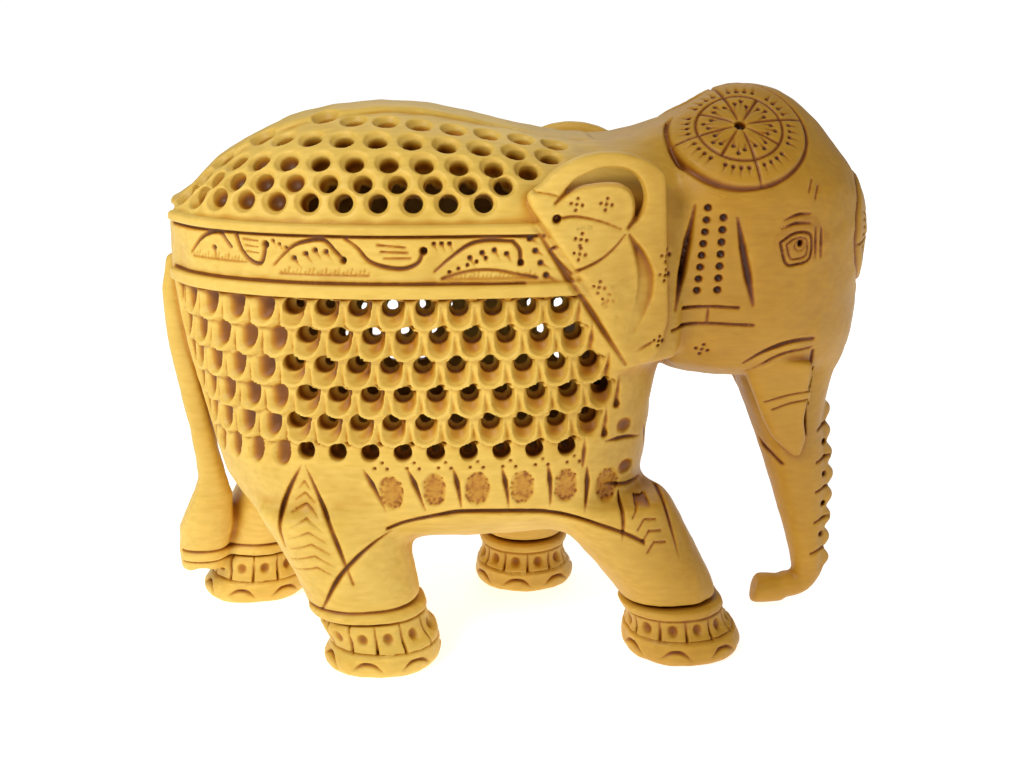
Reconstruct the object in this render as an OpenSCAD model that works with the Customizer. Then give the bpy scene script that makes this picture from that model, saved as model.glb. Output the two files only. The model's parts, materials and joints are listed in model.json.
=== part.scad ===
// Carved wooden elephant: a hollow, pierced (undercut) figurine that walks on four bangled feet.
// Axes: +X is the head end, +Y the elephant's left, +Z up. The origin is on the floor, under the
// middle of the length. Every shape below is drawn round the barrel's widest station, x = 0, at
// the nominal height, and figure() then centres and scales it.

/* [Overall] */
// Height of the figure, from the soles to the crown
figure_height = 101.6; // [76:0.2:152.4]

/* [Pierced walls] */
// Thickness of the barrel's wall
wall = 4.6; // [3.6:0.2:6]
// Diameter of a drilled hole where it meets the outside
hole_d = 3.4; // [2.6:0.1:3.8]
// Distance between neighbouring holes of one row
hole_pitch = 6; // [5.5:0.1:7]
// Distance between the rows of the flank
flank_row_pitch = 4.95; // [4.6:0.05:5.4]
// Rows of holes on the flank
flank_rows = 6; // [4:1:6]

/* [Bands round the barrel] */
// How far the two rails stand out from the wall
rail_proud = 0.9; // [0.4:0.1:1.4]
// Height of the upper rail
upper_rail_h = 1.9; // [1.5:0.1:2.4]
// Height of the lower rail
lower_rail_h = 2.5; // [2:0.1:3]

/* [Head and trunk] */
// Thickness of an ear
ear_t = 3; // [2.6:0.2:4]
// Bumps down the front of the trunk
trunk_bumps = 8; // [5:1:10]
// How far a carved ornament stands out from the head
trim_proud = 0.5; // [0.3:0.1:0.8]

/* [Feet] */
// Height of a foot below its bangle
foot_h = 4.6; // [4:0.2:5.4]
// Height of the bangle above each foot
anklet_h = 6; // [5:0.2:6.6]

/* [Hidden] */

right = -1;
left = 1;
nominal_height = 101.6;
length_middle = 10.82;  // x of the middle of the whole length
tiny = 0.02;

wood = [0.87, 0.71, 0.40];
rubbed_wood = [0.92, 0.79, 0.50];
stained_wood = [0.74, 0.55, 0.27];

// Heights of the horizontal bands of the barrel, from the belly up
belly_z = 21.5;
hem_z = 30;
flank_z = 41;
rail_z = 69;                                // underside of the lower rail
frieze_z = rail_z + lower_rail_h;
dome_z = 81.4;                              // top of the upper rail, where the back starts
frieze_top = dome_z - upper_rail_h;
core_top = 38;                              // the barrel is solid below this
shoulder_x = 24;                            // the barrel's walls end here, at the shoulders
neck_end = 38;
jaw_z = 50;
throat_z = 56;
front_power = 3;                            // squareness of the barrel's front in plan
wall_columns = 20;

// The barrel in plan, against height: reach behind and before its widest station, half width,
// and squareness of the rump
function rear_reach(z) = lookup(z, [
    [21.5, 22], [22.6, 29], [25, 34.5], [28, 38.5], [31, 42], [36, 43.6], [41, 44.6],
    [48, 46.4], [58, 48.6], [69, 50.2]
]);
function front_reach(z) = lookup(z, [[21.5, 16], [22.6, 24], [25, 29], [28, 32], [31, 34], [48, 36], [69, 38]]);
function half_width(z) = lookup(z, [
    [21.5, 8], [22.6, 15], [25, 20], [28, 23], [31, 24.6], [36, 25.2], [41, 25.6], [48, 25.9], [58, 26.2]
]);
function rump_power(z) = lookup(z, [[21.5, 2], [31, 2.6], [48, 2.4], [69, 2.2]]);

// Height of the ridge of the back along x, and the head in plan against height
function ridge_z(x) = lookup(x, [
    [-50, 81.8], [-48, 82.4], [-45.5, 84.4], [-41, 89], [-35.5, 92.4], [-28.5, 95.6], [-21.5, 97.4],
    [-12.5, 98.2], [-5.5, 97.8], [1.5, 96.5], [8.5, 94.8], [15.5, 93.2], [21.5, 92.3], [30, 92.4]
]);
function head_mid(z) = lookup(z, [[50, 56], [53, 52], [58, 49], [83, 48], [92, 49], [101.6, 51.5]]);
function head_front(z) = lookup(z, [
    [50, 16.5], [53, 21.2], [58, 25.4], [64, 25.6], [72, 26.8], [78, 27.2], [83, 26], [88, 22.6],
    [92, 18.8], [95.5, 15], [98.5, 10.6], [100.6, 6.4], [101.6, 2.4]
]);
function head_rear(z) = lookup(z, [[50, 17], [53, 20], [58, 24], [88, 24], [92, 18], [95.5, 12.6], [98.5, 8], [100.6, 4.6], [101.6, 2]]);
function head_half(z) = lookup(z, [
    [50, 10.5], [53, 15], [58, 18], [64, 19.2], [74, 20], [84, 20], [88, 18.8], [92, 16.4], [95.5, 12.6],
    [98.5, 8.2], [100.6, 4.6], [101.6, 1.6]
]);
head_power = 2;

// ---- Curves ----

function signed_power(v, p) = sign(v) * pow(abs(v), p);

// Superellipse in plan: [x, y] at an angle that runs from 0 at the back to 180 at the front
function plan_point(angle, rear, front, half, rear_power, forward_power) =
    let (p = angle < 90 ? rear_power : forward_power, reach = angle < 90 ? rear : front)
    [-reach * signed_power(cos(angle), 2 / p), half * pow(sin(angle), 2 / p)];

// The barrel's outline at height z, moved inwards by inset
function barrel_point(z, angle, inset) =
    plan_point(angle, rear_reach(z) - inset, front_reach(z) - inset, half_width(z) - inset, rump_power(z), front_power);

// The angle at which the barrel's outline reaches the shoulders
function shoulder_angle(z, inset) = 90 + asin(pow(shoulder_x / (front_reach(z) - inset), front_power / 2));

// Half width of the back's foot at x
function back_half(x) =
    let (reach = x < 0 ? 50 : 38.5, p = x < 0 ? 2.2 : front_power)
    26 * pow(max(0, 1 - pow(abs(x) / reach, p)), 1 / p);

// A point on the back's arch at x: angle 0 is the ridge, 90 the foot
function back_point(x, angle, inset) =
    [x, max(0.6, back_half(x) - inset) * sin(angle), dome_z + max(0.3, ridge_z(x) - dome_z - inset) * cos(angle)];

function head_point(z, angle, outset) =
    let (p = plan_point(angle, head_rear(z) + outset, head_front(z) + outset, head_half(z) + outset, head_power, head_power))
    [head_mid(z) + p[0], p[1], z];

// The head's surface seen from the front and from the side
function head_front_x(y, z, outset) =
    head_mid(z) + (head_front(z) + outset) * sqrt(max(0, 1 - pow(y / (head_half(z) + outset), 2)));
function head_side_y(x, z, outset) =
    (head_half(z) + outset) * sqrt(max(0, 1 - pow((x - head_mid(z)) / (head_front(z) + outset), 2)));

// ---- Solids from points ----

function flatten(lists) = [for (list = lists) each list];
function flipped(faces, flip) = flip ? [for (f = faces) [f[2], f[1], f[0]]] : faces;

// A closed solid through rings of points, listed from the bottom ring to the top ring
module lofted(rings) {
    count = len(rings[0]);
    last = len(rings) - 1;
    sides = [for (i = [0:last - 1], j = [0:count - 1])
        let (a = i * count + j, b = i * count + (j + 1) % count)
        each [[a, a + count, b + count], [a, b + count, b]]];
    bottom = [[for (j = [0:count - 1]) j]];
    top = [[for (j = [count - 1:-1:0]) last * count + j]];
    polyhedron(flatten(rings), concat(bottom, sides, top), convexity = 6);
}

// A closed slab between an outer and an inner grid of points
module slab(outer, inner, flip = false) {
    rows = len(outer);
    cols = len(outer[0]);
    half = rows * cols;
    skin = [for (i = [0:rows - 2], j = [0:cols - 2])
        let (a = i * cols + j, b = a + 1, c = a + cols, d = c + 1)
        each [[a, b, d], [a, d, c], [b + half, a + half, d + half], [d + half, a + half, c + half]]];
    // The rim runs once round the grid
    rim = concat(
        [for (j = [0:cols - 1]) j],
        [for (i = [1:rows - 1]) i * cols + cols - 1],
        [for (j = [cols - 2:-1:0]) (rows - 1) * cols + j],
        [for (i = [rows - 2:-1:1]) i * cols]
    );
    edge = [for (k = [0:len(rim) - 1])
        let (a = rim[k], b = rim[(k + 1) % len(rim)])
        each [[a, a + half, b + half], [a, b + half, b]]];
    polyhedron(concat(flatten(outer), flatten(inner)), flipped(concat(skin, edge), flip), convexity = 8);
}

// An oval slice for lofted(): centre, reach along x and y, and a tilt that lifts its front
function oval(z, x, y, reach_x, reach_y, tilt = 0, power = 2.2, count = 20) = [
    for (k = [0:count - 1])
        let (a = 360 * k / count, dx = reach_x * signed_power(cos(a), 2 / power))
        [x + dx, y + reach_y * signed_power(sin(a), 2 / power), z + dx * tan(tilt)]
];

// A flat plate of that slice, which hull() joins to its neighbours
module oval_plate(slice) {
    lofted([slice, [for (p = slice) p + [0, 0, tiny]]]);
}

module hull_chain(slices) {
    for (i = [0:len(slices) - 2]) {
        hull() {
            oval_plate(slices[i]);
            oval_plate(slices[i + 1]);
        }
    }
}

// Colour, and the move and scale that bring the figure into its own frame
module figure(shade) {
    color(shade)
        scale(figure_height / nominal_height)
            translate([-length_middle, 0, 0])
                children();
}

// What is drawn on the right side, or its mirror twin on the left
module on_side(side) {
    if (side == left) {
        mirror([0, 1, 0]) children();
    } else {
        children();
    }
}

// ---- The barrel ----

function lerp(a, b, t) = a + (b - a) * t;

// One half of the barrel's wall between two heights
module barrel_wall(side, z_low, z_high, rows, proud = 0) {
    heights = [for (i = [0:rows]) lerp(z_low, z_high, i / rows)];
    function skin(inset) = [for (z = heights) [
        for (j = [0:wall_columns])
            let (p = barrel_point(z, shoulder_angle(z, inset) * j / wall_columns, inset))
            [min(p[0], shoulder_x), side * p[1], z]
    ]];
    slab(skin(-proud), skin(wall), side == left);
}

// A drilling that narrows along +Z, through the whole wall
module bore_hull(mouth_d) {
    flare = 1.15;
    taper = 0.75;
    above = 1.5;
    hull() {
        translate([0, 0, -above]) cylinder(h = tiny, d = mouth_d * flare, $fn = 6);
        translate([0, 0, wall + 3]) cylinder(h = tiny, d = mouth_d * taper, $fn = 6);
    }
}

// That drilling, turned to point into the wall
module drilling(place, inward_yaw, inward_pitch, mouth_d) {
    translate(place) rotate([0, 90 + inward_pitch, inward_yaw]) bore_hull(mouth_d);
}

// Holes of one row sit half a pitch further on than those of the row above
function row_shift(row) = (row % 2) * hole_pitch / 2;

module flank_drillings() {
    first_hole = -28.1;
    for (row = [0:flank_rows - 1]) {
        z = 67.2 - row * flank_row_pitch;
        row_end = lerp(17, 24.5, min(1, row / 3)) - max(0, row - 3) * 3.5;
        for (x = [first_hole + row_shift(row):hole_pitch:row_end]) {
            reach = x < 0 ? rear_reach(z) : front_reach(z);
            p = x < 0 ? rump_power(z) : front_power;
            y = half_width(z) * pow(1 - pow(abs(x) / reach, p), 1 / p);
            drilling([x, -y, z], x < -20 ? 62 : 90, 6, hole_d);
        }
    }
}

module flank_lattice(side) {
    figure(wood) on_side(side) difference() {
        barrel_wall(right, flank_z, rail_z, 5);
        flank_drillings();
    }
}

// Angles down the side of the back, from the ridge, of its rows of holes
back_rows = [24, 38, 52, 65, 77];

module back_drillings() {
    for (row = [0:len(back_rows) - 1]) {
        first = -34 + row_shift(row);
        for (x = [first:hole_pitch:14]) {
            p = back_point(x, back_rows[row], 0);
            translate([p[0], -p[1], p[2]]) rotate([back_rows[row] - 180, 0, 0]) bore_hull(hole_d);
        }
    }
}

spine_half = 6.2;
back_stations = [-48.4, -45.5, -41, -35.5, -28.5, -21.5, -12.5, -5.5, 1.5, 8.5, 15.5, 20, shoulder_x];

module back_lattice(side) {
    columns = 7;
    function skin(inset) = [for (x = back_stations)
        let (start = asin(min(0.9, spine_half / back_half(x))))
        [for (j = [0:columns])
            let (p = back_point(x, lerp(start, 90, j / columns), inset))
            [p[0], -p[1], p[2]]]];
    figure(wood) on_side(side) difference() {
        slab(skin(0), skin(wall), true);
        back_drillings();
    }
}

// The smooth strip along the top, a little proud of the pierced back
module spine_ridge() {
    proud = 0.3;
    columns = 6;
    stations = concat([-49.8], back_stations);
    function strip(inset) = [for (x = stations)
        let (edge = asin(min(0.9, spine_half / back_half(x))))
        [for (j = [-columns / 2:columns / 2]) back_point(x, edge * 2 * j / columns, inset)]];
    figure(rubbed_wood) slab(strip(-proud), strip(wall));
}

module upper_rail(side) {
    figure(rubbed_wood) barrel_wall(side, frieze_top, dome_z, 1, rail_proud);
}

module frieze(side) {
    figure(wood) barrel_wall(side, frieze_z, frieze_top, 2);
}

module lower_rail(side) {
    figure(rubbed_wood) barrel_wall(side, rail_z, frieze_z, 1, rail_proud);
}

module hem(side) {
    figure(wood) barrel_wall(side, hem_z, flank_z, 3);
}

function both_sides(half) = concat(half, [for (k = [len(half) - 2:-1:1]) [half[k][0], -half[k][1], half[k][2]]]);

// The barrel's whole outline, cut off at the shoulders where limit asks for it
function barrel_ring(z, inset, limit) = both_sides([
    for (j = [0:14])
        let (p = barrel_point(z, 180 * j / 14, inset))
        [min(p[0], limit), p[1], z]
]);

module belly_solid() {
    under = [for (z = [belly_z, 22.6, 25, 28, hem_z]) barrel_ring(z, 0, 60)];
    core = [for (z = [hem_z + tiny, core_top]) barrel_ring(z, wall, shoulder_x)];
    lofted([for (ring = concat(under, core)) [for (k = [len(ring) - 1:-1:0]) ring[k]]]);
}

module belly() {
    figure(wood) belly_solid();
}

// Solid breast between the shoulders, below the throat
module chest() {
    columns = 12;
    function arc(z) = [for (j = [-columns:columns])
        let (start = shoulder_angle(z, 0), p = barrel_point(z, lerp(180, start, abs(j) / columns), 0))
        [p[0], (j < 0 ? -1 : 1) * p[1], z]];
    figure(wood) lofted([for (z = [hem_z, 36, 42, 49, throat_z]) arc(z)]);
}

// ---- Neck and head ----

// Arched sections along x: [x, underside, top, half width, squareness]
neck_sections = [
    [shoulder_x, throat_z, 92.3, 25.2, 3.4], [28, throat_z, 92.6, 24.6, 3.2], [33, throat_z, 94, 22.6, 2.9],
    [neck_end, throat_z, 96, 19.6, 2.6]
];

module neck() {
    columns = 12;
    function arch(s) = [for (j = [-columns:columns])
        let (a = 90 * j / columns)
        [s[0], s[3] * signed_power(sin(a), 2 / s[4]), s[1] + (s[2] - s[1]) * pow(cos(a), 2 / s[4])]];
    figure(wood) lofted([for (s = neck_sections) arch(s)]);
}

function head_ring(z) = both_sides([
    for (j = [0:20])
        let (p = head_point(z, 9 * j, 0))
        [max(p[0], neck_end), p[1], z]
]);

module head() {
    heights = [jaw_z, 51.5, 53, 55.5, 58, 64, 70, 76, 81, 84, 86, 88, 90, 92, 93.8, 95.5, 97, 98.5, 99.6, 100.6, nominal_height];
    rings = [for (z = heights) head_ring(z)];
    figure(wood) lofted([for (ring = rings) [for (k = [len(ring) - 1:-1:0]) ring[k]]]);
}

// A shallow round cap, carved as a wheel, on the side of the crown
module temple_medallion(side) {
    radius = 12.2;
    cap_radius = 27;
    thickness = 2;
    steps = 6;
    reach = asin(radius / cap_radius);
    function arc(r) = [for (k = [0:steps]) let (a = reach * k / steps) [r * sin(a), r * cos(a) - cap_radius]];
    inner = arc(cap_radius - thickness);
    figure(rubbed_wood)
        translate([48.6, side * 12.7, 95.6])
            rotate([-side * 39, 4, 0])
                rotate_extrude($fn = 48) polygon(concat(arc(cap_radius), [for (k = [steps:-1:0]) inner[k]]));
}

// A wheel on the front of the forehead
module forehead_medallion() {
    radius = 10.6;
    centre_z = 76;
    columns = 8;
    rows = [for (k = [-5:5]) centre_z + radius * sin(17 * k)];
    function face(outset) = [for (z = rows)
        let (chord = sqrt(radius * radius - (z - centre_z) * (z - centre_z)))
        [for (j = [-columns / 2:columns / 2])
            let (y = chord * 2 * j / columns)
            [head_front_x(y, z, 0) + outset, y, z]]];
    figure(rubbed_wood) slab(face(trim_proud), face(-1.5));
}

// A leaf-shaped shield between the forehead and the trunk
module trunk_shield() {
    low = 51;
    high = 64.6;
    half = 8;
    columns = 6;
    rows = [for (t = [0.02:0.12:0.98]) t];
    function face(outset) = [for (t = rows)
        let (z = lerp(low, high, t), chord = half * pow(sin(180 * t), 0.7))
        [for (j = [-columns / 2:columns / 2])
            let (y = chord * 2 * j / columns)
            [head_front_x(y, z, 0) + outset, y, z]]];
    figure(rubbed_wood) slab(face(trim_proud), face(-1.5));
}

// A patch of the head's side: for each row, a height and the x where it starts and ends
module side_patch(side, rows, columns, outset) {
    function face(o) = [for (r = rows) [for (j = [0:columns])
        let (x = lerp(r[1], r[2], j / columns))
        [x, side * head_side_y(x, r[0], o), r[0]]]];
    slab(face(outset), face(-1.2), side == left);
}

module eye(side) {
    centre = [58.6, 76.6];
    reach = 3.6;
    figure(stained_wood) side_patch(side, [
        for (t = [-0.92:0.23:0.92])
            [centre[1] + 2.9 * t, centre[0] - reach * (1 - abs(t)) - 0.3, centre[0] + reach * (1 - abs(t) * 0.7) + 0.3]
    ], 5, trim_proud);
}

// The beaded strip that hangs behind the eye, on a two-step base
module cheek_pendant(side) {
    figure(rubbed_wood) side_patch(side, [
        for (z = [61.6:3:82.6])
            let (widen = (82.6 - z) / 21)
            [z, 40.2 - 2.6 * widen, 46.6 + 2.6 * widen]
    ], 3, trim_proud);
}

module ear(side) {
    hinge = [35.5, 19.6];
    turn = 12;
    top = [for (a = [38:14:150]) [23.5 + 13 * cos(a), 82.5 + 10.2 * sin(a)]];
    outline = concat(top, [[9.6, 86.2], [11, 83.4], [29.4, 57.2], [31.4, 56.2], [33.5, 58.5], [35, 64]]);
    figure(wood)
        translate([hinge[0], side * hinge[1], 0])
            rotate([0, 0, -side * turn])
                translate([-hinge[0], side > 0 ? ear_t : 0, 0])
                    rotate([90, 0, 0])
                        linear_extrude(ear_t) offset(r = 1, $fn = 16) offset(delta = -1) polygon(outline);
}

// ---- Tusks and trunk ----

trunk_y = -1.5;

function trunk_slice(z) = let (
    back = lookup(z, [[7, 65.8], [12, 65], [21.6, 62], [28, 59.8], [34, 57.8], [40, 55.6], [46, 53.2], [50, 52]]),
    front = lookup(z, [[7, 71.6], [28, 71.4], [34, 70.6], [40, 69.6], [50, 71.5]]),
    half = lookup(z, [[7, 3.6], [21.6, 4.6], [34, 6.4], [46, 9.2], [50, 10]])
) oval(z, (back + front) / 2, trunk_y * (jaw_z - z) / jaw_z, (front - back) / 2, half, 0, 2.3, 18);

module trunk() {
    figure(wood) lofted([for (z = [7, 12, 17, 22, 28, 34, 40, 46, jaw_z]) trunk_slice(z)]);
}

// The scalloped crest down the front of the trunk
module trunk_ridge() {
    low = 8;
    high = 43;
    bump_h = (high - low) / trunk_bumps;
    figure(rubbed_wood) for (k = [0:trunk_bumps - 1]) {
        z = low + (k + 0.5) * bump_h;
        front = lookup(z, [[7, 71.6], [28, 71.4], [34, 70.6], [40, 69.6], [50, 71.5]]);
        y = trunk_y * (jaw_z - z) / jaw_z;
        half = lookup(z, [[7, 2.2], [43, 3.6]]);
        hull() {
            translate([front - 1.4, y - half, z - bump_h / 2]) cube([1, 2 * half, bump_h]);
            translate([front + 0.9, y - half * 0.6, z - bump_h * 0.18]) cube([0.5, 1.2 * half, bump_h * 0.36]);
        }
    }
}

// The tip curls back under and ends in a cut face
module trunk_tip() {
    bend_x = 64.5;
    bend_z = 8.2;
    figure(wood) {
        for (k = [0:6]) {
            hull() {
                for (a = [15 * k, 15 * (k + 1)]) {
                    translate([bend_x, trunk_y, bend_z])
                        rotate([0, a, 0])
                            translate([4.6 - a / 105, 0, 0])
                                cylinder(h = tiny, r = 2.8, $fn = 12);
                }
            }
        }
        hull() {
            translate([64, trunk_y, 3.6]) rotate([0, -90, 0]) cylinder(h = tiny, r = 2.9, $fn = 12);
            translate([58.2, trunk_y, 4]) rotate([0, -75, 0]) cylinder(h = tiny, r = 3.1, $fn = 12);
        }
    }
}

// A flat, pointed tusk that lies against the side of the trunk
module tusk(side) {
    function plate(z, x, reach, y, half) = oval(z, x, side * y, reach, half, -8, 3, 12);
    figure(rubbed_wood) lofted([
        plate(33.4, 63.4, 0.9, 7.6, 0.9), plate(37, 61.6, 3.2, 8.2, 1.5), plate(41, 60.4, 4.4, 9, 1.7),
        plate(46, 59, 5.6, 10.4, 1.9), plate(51, 57.8, 6.6, 12.4, 2.1), plate(54.4, 57.2, 7, 13.6, 2.2)
    ]);
}

// ---- Tail ----

// Points down the tail, each with the strip's reach along x and y
tail_points = [
    [-49.6, 0, 72, 1.6, 1.8], [-50.4, 0, 66, 1.8, 2.2], [-50, 0, 59, 2, 2.6], [-49.4, 0.6, 52, 2, 2.6],
    [-48.4, 1.6, 45, 2, 2.5], [-47.6, 2.8, 38, 1.9, 2.4], [-47, 4, 33, 1.9, 2.4], [-46.8, 5.2, 28, 2.2, 2.6],
    [-47.2, 6.4, 24, 3.4, 3]
];

module tail() {
    figure(rubbed_wood) hull_chain([
        for (k = [len(tail_points) - 1:-1:0])
            let (p = tail_points[k])
            oval(p[2], p[0], p[1], p[3], p[4], 0, 3, 12)
    ]);
}

// The brush of the tail fans out and rests against the far hind leg
module tail_tuft() {
    figure(wood) lofted([
        oval(8, -50, 9, 4, 3.2, 0, 2.4, 14), oval(12, -49.6, 8.8, 4.6, 4, 0, 2.4, 14),
        oval(17, -48.8, 8, 4.9, 4, 0, 2.4, 14), oval(24, -47.2, 6.4, 3.5, 3.2, 0, 2.4, 14)
    ]);
}

// ---- Legs: [foot x, foot y, foot radius, tilt of the bangle, ankle x, ankle radius, hip x, hip reach] ----

leg_front_right_plan = [40.8, right * 16, 11.2, 0, 38.2, 9.2, 25, 13];
leg_front_left_plan = [14.3, left * 16.4, 10.2, 0, 14.2, 8.6, 17, 12];
leg_rear_right_plan = [-14.6, right * 16.6, 10.8, 8, -17, 10, -24, 13.4];
leg_rear_left_plan = [-40.6, left * 16, 10.8, 8, -40, 9.4, -27, 13];

ankle_z = foot_h + anklet_h;
hip_y = 13.6;
hip_reach_y = 10.8;

// A leg's slice a fraction t of the way from the ankle to the hip
function leg_slice(plan, t, z) = let (side = sign(plan[1]), bend = pow(t, 1.15)) oval(
    z, lerp(plan[4], plan[6], bend), lerp(plan[1], side * hip_y, t), lerp(plan[5], plan[7], pow(t, 1.4)),
    lerp(8.8, hip_reach_y, t), lerp(plan[3], 0, min(1, 2 * t))
);

module leg(plan) {
    steps = 8;
    figure(wood) difference() {
        hull_chain([for (k = [0:steps]) leg_slice(plan, k / steps, lerp(ankle_z, hem_z, k / steps))]);
        belly_solid();
    }
}

// The bangle: a ring over a band of square beads
module anklet(plan) {
    function band(t, grow) = oval(
        lerp(foot_h, ankle_z, t), lerp(plan[0] - sign(plan[0]) * 0.4, plan[4], t), plan[1],
        lerp(plan[2] - 1.4, plan[5], t) + grow, lerp(9.4, 8.8, t) + grow, plan[3]
    );
    figure(rubbed_wood) lofted([band(0, 0.3), band(0.6, 0.4), band(0.62, 0.8), band(1, 0.5)]);
}

module foot(plan) {
    sole_margin = 1;
    figure(wood) lofted([
        oval(0, plan[0], plan[1], plan[2] - sole_margin, plan[2] - sole_margin - 0.6),
        oval(1.4, plan[0], plan[1], plan[2], plan[2] - 0.6, plan[3] / 4),
        oval(3, plan[0], plan[1], plan[2] - 0.2, plan[2] - 0.8, plan[3] / 2),
        oval(foot_h, plan[0] - sign(plan[0]) * 0.4, plan[1], plan[2] - 1.2, 9.5, plan[3])
    ]);
}

spine_ridge();
back_lattice(right);  // back_lattice_right
back_lattice(left);  // back_lattice_left
upper_rail(right);  // upper_rail_right
upper_rail(left);  // upper_rail_left
frieze(right);  // frieze_right
frieze(left);  // frieze_left
lower_rail(right);  // lower_rail_right
lower_rail(left);  // lower_rail_left
flank_lattice(right);  // flank_lattice_right
flank_lattice(left);  // flank_lattice_left
hem(right);  // hem_right
hem(left);  // hem_left
belly();
chest();
neck();
head();
temple_medallion(right);  // temple_medallion_right
temple_medallion(left);  // temple_medallion_left
forehead_medallion();
trunk_shield();
ear(right);  // ear_right
ear(left);  // ear_left
eye(right);  // eye_right
eye(left);  // eye_left
cheek_pendant(right);  // cheek_pendant_right
cheek_pendant(left);  // cheek_pendant_left
tusk(right);  // tusk_right
tusk(left);  // tusk_left
trunk();
trunk_ridge();
trunk_tip();
tail();
tail_tuft();
leg(leg_front_right_plan);  // leg_front_right
leg(leg_front_left_plan);  // leg_front_left
leg(leg_rear_right_plan);  // leg_rear_right
leg(leg_rear_left_plan);  // leg_rear_left
anklet(leg_front_right_plan);  // anklet_front_right
anklet(leg_front_left_plan);  // anklet_front_left
anklet(leg_rear_right_plan);  // anklet_rear_right
anklet(leg_rear_left_plan);  // anklet_rear_left
foot(leg_front_right_plan);  // foot_front_right
foot(leg_front_left_plan);  // foot_front_left
foot(leg_rear_right_plan);  // foot_rear_right
foot(leg_rear_left_plan);  // foot_rear_left
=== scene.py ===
import json
import math

import bmesh
import bpy
import numpy as np
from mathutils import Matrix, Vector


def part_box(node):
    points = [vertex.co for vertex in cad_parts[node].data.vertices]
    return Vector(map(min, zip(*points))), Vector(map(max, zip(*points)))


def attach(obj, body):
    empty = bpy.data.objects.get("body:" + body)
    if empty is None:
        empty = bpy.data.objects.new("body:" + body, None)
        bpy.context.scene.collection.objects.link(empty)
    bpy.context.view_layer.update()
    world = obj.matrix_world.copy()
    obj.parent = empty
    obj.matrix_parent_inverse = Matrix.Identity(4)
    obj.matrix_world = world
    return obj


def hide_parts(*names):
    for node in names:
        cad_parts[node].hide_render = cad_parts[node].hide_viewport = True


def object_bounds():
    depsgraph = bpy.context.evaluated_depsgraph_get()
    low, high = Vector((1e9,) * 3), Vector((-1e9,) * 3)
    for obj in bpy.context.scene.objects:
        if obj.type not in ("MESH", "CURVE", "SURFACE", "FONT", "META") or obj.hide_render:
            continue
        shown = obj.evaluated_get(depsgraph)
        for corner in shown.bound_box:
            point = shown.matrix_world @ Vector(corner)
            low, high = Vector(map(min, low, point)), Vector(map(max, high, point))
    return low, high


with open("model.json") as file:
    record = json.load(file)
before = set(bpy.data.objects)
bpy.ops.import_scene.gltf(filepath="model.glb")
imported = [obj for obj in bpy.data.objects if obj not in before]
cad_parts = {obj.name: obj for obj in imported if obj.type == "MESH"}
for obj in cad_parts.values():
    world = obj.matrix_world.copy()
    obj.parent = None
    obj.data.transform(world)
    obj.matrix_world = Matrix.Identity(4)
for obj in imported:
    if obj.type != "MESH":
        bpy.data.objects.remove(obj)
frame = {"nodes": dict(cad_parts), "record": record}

import openvdb as vdb
from mathutils import Vector

CAD_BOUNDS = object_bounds()

# Everything below is worked out in millimetres and turned into metres when a mesh is made.
MM = 0.001
VOXEL = 0.25         # grid that the carving is cut in
COARSE = 0.6                            # grid that the body is blended in
LABEL = 0.8                             # grid that tells which node owns which wood
MARGIN = 3.0                            # grid kept free around the figure
OVERLAP = 0.12                          # neighbouring pieces share this much, so no gap shows between them
ENGRAVED = 2.6                          # only wood this near the skin is engraved
EDGE_HIGHLIGHT = -0.25                          # painted highlight: the value that lightens proud edges most; plain wood has zero
NODES = sorted(frame["nodes"])
SIDES = {"right": -1.0, "left": 1.0}
LEGS = ["front_right", "front_left", "rear_right", "rear_left"]
TRIMS = [n for n in NODES if "medallion" in n or "shield" in n or "eye" in n or "pendant" in n]


def box(node):
    """Lowest and highest corner of a CAD node, in millimetres."""
    low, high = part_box(node)
    return np.array(low) / MM, np.array(high) / MM


WHOLE_LOW = np.array(CAD_BOUNDS[0]) / MM
WHOLE_HIGH = np.array(CAD_BOUNDS[1]) / MM


# ---- Fields: signed distances on a grid, negative in the wood ----

class Field:
    """Values on a regular grid, in millimetres from its low corner."""

    def __init__(self, step, low=WHOLE_LOW - MARGIN, high=WHOLE_HIGH + MARGIN, values=None):
        self.step = step
        self.low = np.array(low, dtype=float)
        self.shape = tuple(int(math.ceil(s / step)) + 1 for s in np.array(high) - self.low)
        self.values = values

    def axes(self, part=None):
        """Coordinates of the grid along each axis, for the whole grid or a part of it."""
        part = part or tuple(slice(0, n) for n in self.shape)
        return [self.low[i] + self.step * np.arange(p.start, p.stop) for i, p in enumerate(part)]

    def mesh_axes(self, part=None):
        x, y, z = (a.astype(np.float32) for a in self.axes(part))
        return x[:, None, None], y[None, :, None], z[None, None, :]

    def part(self, low, high):
        """The slices of the grid that hold a box."""
        start = [max(0, int((low[i] - self.low[i]) / self.step)) for i in range(3)]
        stop = [min(self.shape[i], int((high[i] - self.low[i]) / self.step) + 2) for i in range(3)]
        return tuple(slice(a, b) for a, b in zip(start, stop))

    def sample(self, points):
        return trilinear(self.values, (points - self.low) / self.step)

    def slope(self, points):
        """Gradient by central differences."""
        reach = self.step * 0.6
        columns = []
        for axis in range(3):
            offset = np.zeros(3)
            offset[axis] = reach
            columns.append((self.sample(points + offset) - self.sample(points - offset)) / (2 * reach))
        return np.stack(columns, axis=1)


def trilinear(values, index):
    """Values between the grid's points, at places given in grid steps."""
    limit = np.array(values.shape) - 1.001
    index = np.clip(index, 0, limit)
    cell = index.astype(np.int64)
    f = (index - cell).astype(np.float32)
    _, ny, nz = values.shape
    flat = values.reshape(-1)
    base = (cell[:, 0] * ny + cell[:, 1]) * nz + cell[:, 2]
    total = 0
    for dx in (0, 1):
        wx = f[:, 0] if dx else 1 - f[:, 0]
        for dy in (0, 1):
            wy = f[:, 1] if dy else 1 - f[:, 1]
            for dz in (0, 1):
                wz = f[:, 2] if dz else 1 - f[:, 2]
                total = total + wx * wy * wz * flat[base + (dx * ny + dy) * nz + dz]
    return total


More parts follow.
